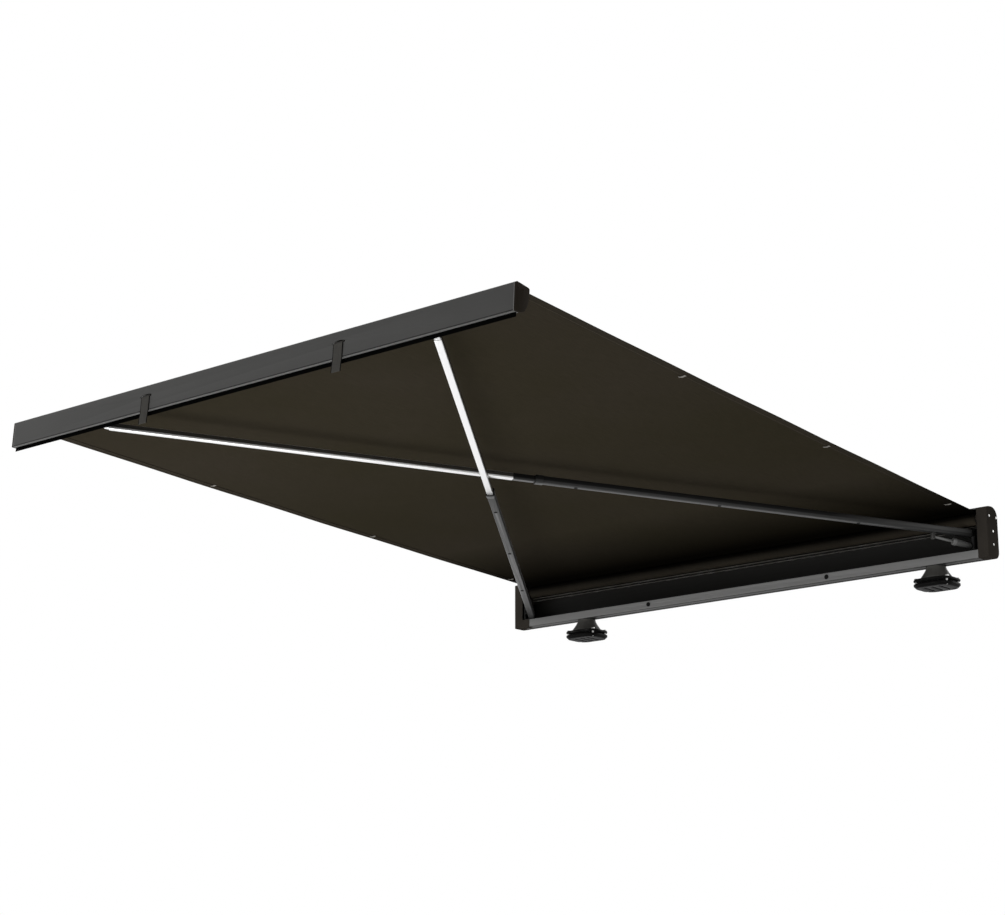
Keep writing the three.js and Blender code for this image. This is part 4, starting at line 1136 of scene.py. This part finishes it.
@dataclass
class Canopy:
    """The stretched cloth between the roller and the lead rail, with its hems and loops."""

    half_at_roller: float = 1009 * MM
    half_at_rail: float = 1049 * MM
    roller_y: float = 42 * MM
    top_z: float = 168.9 * MM
    groove: Point2 = (50 * MM, -10 * MM)
    groove_grip: float = 2 * MM
    sag: float = 9 * MM
    edge_sag_share: float = 0.55
    ripple: float = 1.6 * MM
    ripple_waves: Point2 = (2.6, 1.4)
    ripple_layer: float = 4.2
    pull: float = 0.7 * MM
    pull_fade: float = 6.0
    pull_turns: float = 26.0
    thickness: float = 0.7 * MM
    hem_width: float = 32 * MM
    hem_drop_share: float = 1.6
    columns: int = 96
    hem_columns: int = 4
    rows: int = 120
    keep: float = 0.018
    loop_places: tuple[float, ...] = (161 * MM, 944 * MM, 1735 * MM)
    loop_inset: float = 28 * MM
    loop_size: Point2 = (24 * MM, 9 * MM)
    loop_faces: tuple[int, int] = (12, 2)
    loop_drop_share: float = 2.9
    loop_slack: float = 1.6 * MM

    def ends(self) -> tuple[Vector, Vector]:
        """Middle of the cloth at the roller and at the rail."""
        return seated(0.0, self.roller_y, self.top_z), rail_point(*self.groove)

    def length(self) -> float:
        """Length of the cloth from the roller to the rail."""
        start, end = self.ends()
        return (end - start).length

    def half(self, along: float) -> float:
        """Half width of the cloth at a share from the roller to the rail."""
        return self.half_at_roller + (self.half_at_rail - self.half_at_roller) * along

    def point(self, across: float, along: float) -> Vector:
        """Point of the cloth.

        Args:
            across: Share across the cloth, from -1 to 1.
            along: Share from the roller to the rail.

        Returns:
            The point in the frame.
        """
        start, end = self.ends()
        middle = start.lerp(end, along)
        between = 4 * along * (1 - along)
        edge = self.edge_sag_share
        slack = self.sag * between * (edge + (1 - edge) * (1 - across * across))
        waves = (across * self.ripple_waves[0], along * self.ripple_waves[1], self.ripple_layer)
        rise = noise.noise(Vector(waves)) * self.ripple * between
        drawn = math.exp(-self.pull_fade * (1 - abs(across)))
        drawn *= math.sin(along * self.pull_turns + across)
        height = middle.z - slack + rise + drawn * self.pull * between
        return Vector((self.half(along) * across, middle.y, height))

    def strip(
        self, low: float, high: float, columns: int, drop: float, from_edge: bool
    ) -> bmesh.types.BMesh:
        """Part of the cloth as a grid with a map in metres.

        Args:
            low: Share across the cloth where the part starts.
            high: Share across where it ends.
            columns: Faces across it.
            drop: Distance below the cloth.
            from_edge: Whether the map counts from the part's start, and not from the middle.

        Returns:
            The grid.
        """
        shape = bmesh.new()
        bmesh.ops.create_grid(shape, x_segments=columns, y_segments=self.rows, size=0.5)
        length = self.length()
        layer = shape.loops.layers.uv.new(MAP_NAME)
        shares = {
            vert: (low + (high - low) * (vert.co.x + 0.5), vert.co.y + 0.5)
            for vert in shape.verts}
        for face in shape.faces:
            for loop in face.loops:
                across, along = shares[loop.vert]
                wide = across * self.half_at_rail
                inner = abs(wide - low * self.half_at_rail)
                loop[layer].uv = (inner if from_edge else wide, along * length)
        for vert, (across, along) in shares.items():
            vert.co = self.point(across, along) - Vector((0.0, 0.0, drop))
        bmesh.ops.recalc_face_normals(shape, faces=shape.faces)
        return shape

    def build(self) -> None:
        """Makes the cloth, its hems and its loops, each with a mesh of its own."""
        cloth = self.sewn(
            "canopy_sheet", self.strip(-1.0, 1.0, self.columns, 0.0, False), CANOPY_CLOTH,
            ["canopy"])
        extras = []
        for side in Side:
            inner = side.value * (1.0 - self.hem_width / self.half_at_rail)
            drop = self.thickness * self.hem_drop_share
            hem = self.strip(inner, side.value, self.hem_columns, drop, True)
            extras.append(self.sewn(f"canopy_hem_{side.word}", hem, HEM_CLOTH))
            extras.append(self.sewn(f"canopy_loops_{side.word}", self.loops(side), LOOP_CLOTH))
        for piece in (cloth, *extras):
            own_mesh(piece)

    def loops(self, side: Side) -> bmesh.types.BMesh:
        """Shapes the short loops that are sewn under one hem.

        Args:
            side: Side of the canopy.

        Returns:
            The loops, as one shape.
        """
        length = self.length()
        shape = bmesh.new()
        layer = shape.loops.layers.uv.new(MAP_NAME)
        for distance in self.loop_places:
            along = distance / length
            half = self.half(along)
            wide, deep = self.loop_faces
            made = bmesh.ops.create_grid(shape, x_segments=wide, y_segments=deep, size=0.5)
            for vert in made["verts"]:
                across, back = vert.co.x, vert.co.y
                x = side.value * (half - self.loop_inset) + across * self.loop_size[0]
                place = self.point(x / half, along + back * self.loop_size[1] / length)
                drop = self.loop_drop_share * self.thickness
                drop += self.loop_slack * math.cos(math.pi * across) ** 2
                vert.co = Vector((x, place.y, place.z - drop))
            for face in {face for vert in made["verts"] for face in vert.link_faces}:
                for loop in face.loops:
                    loop[layer].uv = loop.vert.co.xy
        bmesh.ops.recalc_face_normals(shape, faces=shape.faces)
        return shape

    def sewn(
        self, name: str, shape: bmesh.types.BMesh, finish: Finish, replaced: Sequence[str] = ()
    ) -> bpy.types.Object:
        """Finishes a surface as a piece of cloth and gives it its thickness.

        Args:
            name: Name of the piece.
            shape: Its surface, which is used up.
            finish: Its finish.
            replaced: Nodes that it stands for.

        Returns:
            The new object.
        """
        piece = finished(name, shape, finish, "housing", replaced)
        thick = bmesh.new()
        thick.from_mesh(piece.data)
        bmesh.ops.solidify(thick, geom=thick.faces[:], thickness=self.thickness)
        shade(thick, CLOTH_SHARP_FROM)
        thick.to_mesh(piece.data)
        thick.free()
        return piece


@dataclass
class Housing:
    """The open-fronted housing with its end caps, brackets, studs and screws."""

    screw_places: tuple[Point2, ...] = ((17.5, 147.0), (66.5, 147.0), (40.0, 48.5), (40.0, 95.5))
    screw_sunk: float = 1.6 * MM
    screw: HexScrew = field(default_factory=HexScrew)
    cover_ends: Point2 = (-1024.4 * MM, -988 * MM)
    cover_wall: float = 1.2 * MM
    cover_path: tuple[Point2, ...] = (
        (3.5, 24.0), (3.5, 30.9), (-0.9, 30.9), (-0.9, -0.9), (20.0, -0.9))

    def lip_cover(self) -> None:
        """Makes the short cover that is folded round the left end of the lip."""
        start, end = self.cover_ends
        shape = bmesh.new()
        path = [shape.verts.new(seated(start, y * MM, z * MM)) for y, z in self.cover_path]
        edges = [shape.edges.new(pair) for pair in zip(path, path[1:])]
        drawn = bmesh.ops.extrude_edge_only(shape, edges=edges)["geom"]
        moved = [item for item in drawn if isinstance(item, bmesh.types.BMVert)]
        bmesh.ops.translate(shape, verts=moved, vec=(end - start, 0.0, 0.0))
        bmesh.ops.recalc_face_normals(shape, faces=shape.faces)
        made = finished("lip_cover_left", shape, BLACK_PLASTIC, "housing")
        wall = made.modifiers.new("wall", "SOLIDIFY")
        wall.thickness = self.cover_wall
        wall.offset = 0.0
        rounded = made.modifiers.new("edges", "BEVEL")
        rounded.width = self.cover_wall / 4
        rounded.segments = 2

    def build(self) -> None:
        """Makes the housing's rigid pieces."""
        self.lip_cover()
        refined("housing_profile", HOUSING_COAT, edge=0.4 * MM)
        for side in Side:
            word = side.word
            refined(f"housing_cap_{word}", BLACK_PLASTIC, edge=0.9 * MM, steps=3)
            refined(f"arm_bracket_{word}", BLACK_COAT, edge=0.6 * MM)
            refined(f"roller_bearing_{word}", BLACK_PLASTIC, edge=0.4 * MM)
            refined(f"lip_stud_{word}", STUD_PLASTIC, edge=0.6 * MM)
            refined(f"{word}_arm_pin", STEEL, edge=0.6 * MM)
            face = side.value * (HOUSING_HALF - self.screw_sunk)
            outward = Vector((side.value, 0.0, 0.0))
            seats = [(seated(face, y * MM, z * MM), outward) for y, z in self.screw_places]
            self.screw.set_of(f"cap_screws_{word}", seats, STEEL, "housing")


@dataclass
class Roller:
    """The roller with the cloth that stays wound on it."""

    centre: Point2 = (42 * MM, 147 * MM)

    def build(self) -> None:
        """Makes the roller's pieces."""
        refined("roller_tube", ROLLER_METAL, edge=0.3 * MM)
        self.map_round(refined("wound_canopy", WOUND_CLOTH, edge=0.2 * MM).data)
        for side in Side:
            refined(f"roller_plug_{side.word}", BLACK_PLASTIC, edge=0.4 * MM)

    def map_round(self, mesh: bpy.types.Mesh) -> None:
        """Gives the wound cloth a map in metres: along the roller and round it.

        Args:
            mesh: Mesh of the wound cloth.
        """
        centre = seated(0.0, *self.centre)
        layer = mesh.uv_layers.new(name=MAP_NAME)
        for corner in mesh.loops:
            away = mesh.vertices[corner.vertex_index].co - centre
            turn = math.atan2(away.y, away.z)
            layer.data[corner.index].uv = (away.x, turn * away.yz.length)


@dataclass
class Straps:
    """The two webbing straps that hang from slots in the rail's face."""

    centre: float = 412 * MM
    width: float = 38 * MM
    map_length: float = 130 * MM
    thickness: float = 1.6 * MM
    gap: float = 0.3 * MM
    curl: float = 0.9 * MM
    wall: float = 2.4 * MM
    sill: float = -38.6 * MM
    under_web: float = -27.9 * MM
    foot: float = -83.5 * MM
    end: float = -125 * MM
    columns: int = 8
    rows: int = 64

    def path(self) -> list[Point2]:
        """Routes the strap in the rail's section, from behind the slot to its free end.

        Returns:
            The points of the route.
        """
        stand = self.thickness / 2 + self.gap
        web, sill = self.under_web, self.sill
        return [
            (self.wall + 20 * MM, web), (self.wall + 10 * MM, web),
            (self.wall + 3 * MM, web - 3 * MM), (self.wall, sill + stand + 1 * MM),
            (0.0, sill + stand), (-stand * 0.8, sill + stand * 0.6), (-stand, sill - 1 * MM),
            (-stand, sill - 14 * MM), (-stand, self.foot), (-stand - 2 * MM, self.foot - 20 * MM),
            (-stand - 3 * MM, self.end),
        ]

    def along(self, share: float) -> Point2:
        """Point of the route at a share of its length.

        Args:
            share: Share, from 0 to 1.

        Returns:
            The point in the rail's section.
        """
        points = [Vector(point) for point in self.path()]
        lengths = [(b - a).length for a, b in zip(points, points[1:])]
        left = share * sum(lengths)
        for start, end, length in zip(points, points[1:], lengths):
            if left <= length:
                return tuple(start.lerp(end, left / length))
            left -= length
        return tuple(points[-1])

    def build(self) -> None:
        """Makes both straps."""
        for side in Side:
            shape = bmesh.new()
            bmesh.ops.create_grid(shape, x_segments=self.columns, y_segments=self.rows, size=0.5)
            layer = shape.loops.layers.uv.new(MAP_NAME)
            for face in shape.faces:
                for loop in face.loops:
                    across, share = loop.vert.co.x + 0.5, loop.vert.co.y + 0.5
                    loop[layer].uv = (across * self.width, share * self.map_length)
            for vert in shape.verts:
                across, share = vert.co.x, vert.co.y + 0.5
                y, z = self.along(share)
                curl = self.curl * (2 * across) ** 2 * max(0.0, share - 0.5)
                place = rail_point(y - curl, z)
                place.x = side.value * self.centre + across * self.width
                vert.co = place
            bmesh.ops.recalc_face_normals(shape, faces=shape.faces)
            piece = finished(
                f"strap_webbing_{side.word}", shape, WEBBING, "rail", [f"strap_{side.word}"])
            solid = piece.modifiers.new("thickness", "SOLIDIFY")
            solid.thickness = self.thickness
            solid.offset = 0.0


@dataclass
class LeadRail:
    """The lead rail with its end caps, arm sockets, straps and seal."""

    straps: Straps = field(default_factory=Straps)
    seal_half: float = 1058 * MM
    seal_section: tuple[Point2, ...] = (
        (10.2, -83.7), (14.6, -83.7), (14.6, -84.9), (13.2, -85.6), (13.2, -93.0), (13.8, -94.3),
        (13.4, -95.8), (12.3, -96.4), (11.2, -95.9), (10.8, -94.5), (11.4, -93.0), (11.4, -85.6),
        (10.2, -84.9))

    def seal(self) -> None:
        """Makes the rubber seal under the rail, which closes the housing when it is in; its
        near-black rubber also paints the shade under the rail's foot.
        """
        shape = bmesh.new()
        start = Vector((-self.seal_half, 0.0, 0.0))
        ring = [shape.verts.new(rail_point(y * MM, z * MM) + start) for y, z in self.seal_section]
        pulled(shape, [shape.faces.new(ring)], (2 * self.seal_half, 0.0, 0.0), keep=True)
        bmesh.ops.recalc_face_normals(shape, faces=shape.faces)
        finished("rail_seal", shape, SEAL_RUBBER, "rail", sharp_from=SEAL_SHARP_FROM)

    def build(self) -> None:
        """Makes the rail's pieces."""
        self.seal()
        refined("rail_profile", RAIL_COAT, edge=0.7 * MM, steps=3)
        for side in Side:
            refined(f"rail_cap_{side.word}", RAIL_CAP, edge=0.6 * MM)
            refined(f"arm_socket_{side.word}", BLACK_PLASTIC, edge=0.4 * MM)
        self.straps.build()


@dataclass
class Arm:
    """One telescopic arm."""

    side: Side
    button: HexScrew = field(
        default_factory=lambda: HexScrew(radius=6.2 * MM, height=1.4 * MM, key=2.2 * MM))
    button_proud: float = 0.8 * MM

    def build(self) -> None:
        """Makes the arm's pieces."""
        arm = f"{self.side.word}_arm"
        refined(f"{arm}_knuckle", BLACK_COAT, edge=0.6 * MM)
        refined(f"{arm}_outer_tube", GREY_TUBE[self.side], edge=0.2 * MM)
        refined(f"{arm}_collar", COLLAR[self.side], edge=0.4 * MM)
        refined(f"{arm}_inner_tube", SILVER[self.side], edge=0.2 * MM)
        refined(f"{arm}_tip", SILVER[self.side], edge=0.5 * MM)
        seats = proud_seats(f"{arm}_outer_tube", self.button_proud)
        self.button.set_of(f"{arm}_buttons", seats, STUD_PLASTIC, arm)


@dataclass
class Strut:
    """The short strut under the root of the right arm."""

    def build(self) -> None:
        """Makes the strut's pieces."""
        refined("strut_lug", LUG_COAT, edge=0.6 * MM)
        refined("strut_rod", BARREL_METAL, edge=0.3 * MM)
        refined("strut_barrel", BARREL_METAL, edge=0.5 * MM)


@dataclass
class Foot:
    """One rack foot under the housing."""

    side: Side
    bolts: int = 4

    def build(self) -> None:
        """Makes the foot's pieces."""
        word = self.side.word
        refined(f"foot_pedestal_{word}", LIT_FOOT_COAT, edge=0.8 * MM, steps=3)
        refined(f"foot_plate_{word}", SHADED_CLAMP_COAT, edge=0.6 * MM)
        refined(f"foot_pad_{word}", RUBBER, edge=0.4 * MM)
        refined(f"foot_clamp_{word}", SHADED_CLAMP_COAT, edge=0.6 * MM)
        refined(f"slot_bolt_{word}", STEEL, edge=0.4 * MM)
        refined(f"slot_nut_{word}", STEEL, edge=0.4 * MM)
        for index in range(self.bolts):
            refined(f"foot_bolt_{word}_{index + 1}", STEEL, edge=0.5 * MM)


# Studio


def aimed(made: bpy.types.Object, place: Direction, forward: Vector) -> None:
    """Puts a lamp or a camera in its place and turns it.

    Args:
        made: Object to aim.
        place: Where it stands.
        forward: Direction that it looks in.
    """
    made.location = place
    made.rotation_mode = "QUATERNION"
    made.rotation_quaternion = forward.to_track_quat("-Z", "Y")


@dataclass
class Softbox:
    """A rectangular lamp that the camera doesn't see."""

    name: str
    place: Direction
    aim: Direction
    size: Point2
    power: float

    def build(self) -> None:
        """Makes the lamp."""
        lamp = bpy.data.lights.new(self.name, "AREA")
        lamp.shape = "RECTANGLE"
        lamp.size, lamp.size_y = self.size
        lamp.energy = self.power
        made = added(self.name, lamp)
        aimed(made, self.place, Vector(self.aim) - Vector(self.place))
        made.visible_camera = False


@dataclass
class Studio:
    """Floor, background, lamps and the camera at the photograph's place."""

    floor_z: float = -2.4
    floor_half: float = 60.0
    floor_tone: float = 0.7
    floor_rough: float = 0.9
    fade: Point2 = (6.0, 28.0)
    glow_shares: Point2 = (0.7, 1.0)
    mirrored_share: float = 0.95
    ambient: float = 0.28
    camera_place: Direction = (4.60484, -6.75817, -1.68184)
    azimuth: float = math.radians(40.64)
    elevation: float = math.radians(14.74)
    lens: float = 78.85
    sensor: float = 36.0
    sight: float = 200.0
    lamps: tuple[Softbox, ...] = (
        Softbox("front_softbox", (-2.5, -10.0, -0.4), (0.0, -1.5, 0.0), (4.0, 2.6), 170.0),
        Softbox("low_softbox", (-1.2, -2.9, -2.37), (-1.2, -2.9, 0.0), (5.0, 2.0), 64.0),
        Softbox("side_softbox", (8.0, -4.0, 0.3), (0.0, -1.5, 0.0), (3.0, 3.0), 80.0),
        Softbox("top_softbox", (-1.0, -2.0, 5.0), (0.0, -1.2, 0.0), (5.0, 5.0), 120.0),
        Softbox("back_softbox", (2.0, 6.0, 1.5), (0.0, 0.0, 0.0), (4.0, 3.0), 120.0),
    )

    def build(self) -> None:
        """Makes everything round the object."""
        self.floor()
        self.background()
        for lamp in self.lamps:
            lamp.build()
        self.camera()
        bpy.context.scene.view_settings.view_transform = "Standard"

    @staticmethod
    def ray_shares(graph: Graph) -> tuple[Socket, Socket]:
        """Tells rays apart.

        Args:
            graph: Graph of the material or the world.

        Returns:
            The share that is 1 for a ray from the camera, and for one that a mirror or glass
            has sent on.
        """
        rays = graph.node("LightPath").outputs
        sent_on = graph.math("MAXIMUM", rays["Is Glossy Ray"], rays["Is Transmission Ray"])
        return rays["Is Camera Ray"], sent_on

    def floor(self) -> None:
        """Makes the pale floor, far below the awning, which fades to white in the distance."""
        shape = bmesh.new()
        bmesh.ops.create_grid(shape, x_segments=1, y_segments=1, size=self.floor_half)
        bmesh.ops.translate(shape, verts=shape.verts, vec=(0.0, 0.0, self.floor_z))
        mesh = bpy.data.meshes.new("studio_floor")
        shape.to_mesh(mesh)
        shape.free()
        made = added("studio_floor", mesh)
        material = bpy.data.materials.new("studio_floor")
        material.use_nodes = True
        graph = Graph(material.node_tree)
        shader = material.node_tree.nodes["Principled BSDF"]
        shader.inputs["Base Color"].default_value = (*[self.floor_tone] * 3, 1.0)
        shader.inputs["Roughness"].default_value = self.floor_rough
        glow = graph.node("Emission", {"Color": WHITE, "Strength": 1.0})
        place = graph.node("TexCoord").outputs["Object"]
        away = graph.node("VectorMath", {0: place}, operation="LENGTH").outputs["Value"]
        camera, sent_on = self.ray_shares(graph)
        straight = graph.product(camera, graph.remap(away, self.fade, self.glow_shares))
        share = graph.math("MAXIMUM", straight, graph.product(sent_on, self.mirrored_share))
        blend = graph.node("MixShader", {0: share, 1: shader.outputs[0], 2: glow.outputs[0]})
        graph.plug(material.node_tree.nodes["Material Output"].inputs[0], blend.outputs[0])
        mesh.materials.append(material)

    def background(self) -> None:
        """Makes the background white where it is seen, and softer as a light."""
        world = bpy.data.worlds.new("studio")
        bpy.context.scene.world = world
        world.use_nodes = True
        graph = Graph(world.node_tree)
        base = world.node_tree.nodes["Background"]
        base.inputs["Color"].default_value = WHITE
        seen = graph.math("MAXIMUM", *self.ray_shares(graph))
        graph.plug(base.inputs["Strength"], graph.remap(seen, FULL, (self.ambient, 1.0)))

    def camera(self) -> None:
        """Makes the camera of the photograph."""
        data = bpy.data.cameras.new("camera")
        data.lens = self.lens
        data.sensor_width = self.sensor
        data.clip_end = self.sight
        made = added("camera", data)
        level = math.cos(self.elevation)
        forward = Vector((
            -math.sin(self.azimuth) * level, math.cos(self.azimuth) * level,
            math.sin(self.elevation)))
        aimed(made, self.camera_place, forward)
        bpy.context.scene.camera = made


def main() -> None:
    """Builds the awning and the studio."""
    logging.basicConfig(level=logging.INFO, format="%(name)s: %(message)s")
    Studio().build()
    Housing().build()
    Roller().build()
    LeadRail().build()
    for side in Side:
        Arm(side).build()
        Foot(side).build()
    Strut().build()
    Canopy().build()


if __name__ == "__main__":
    main()
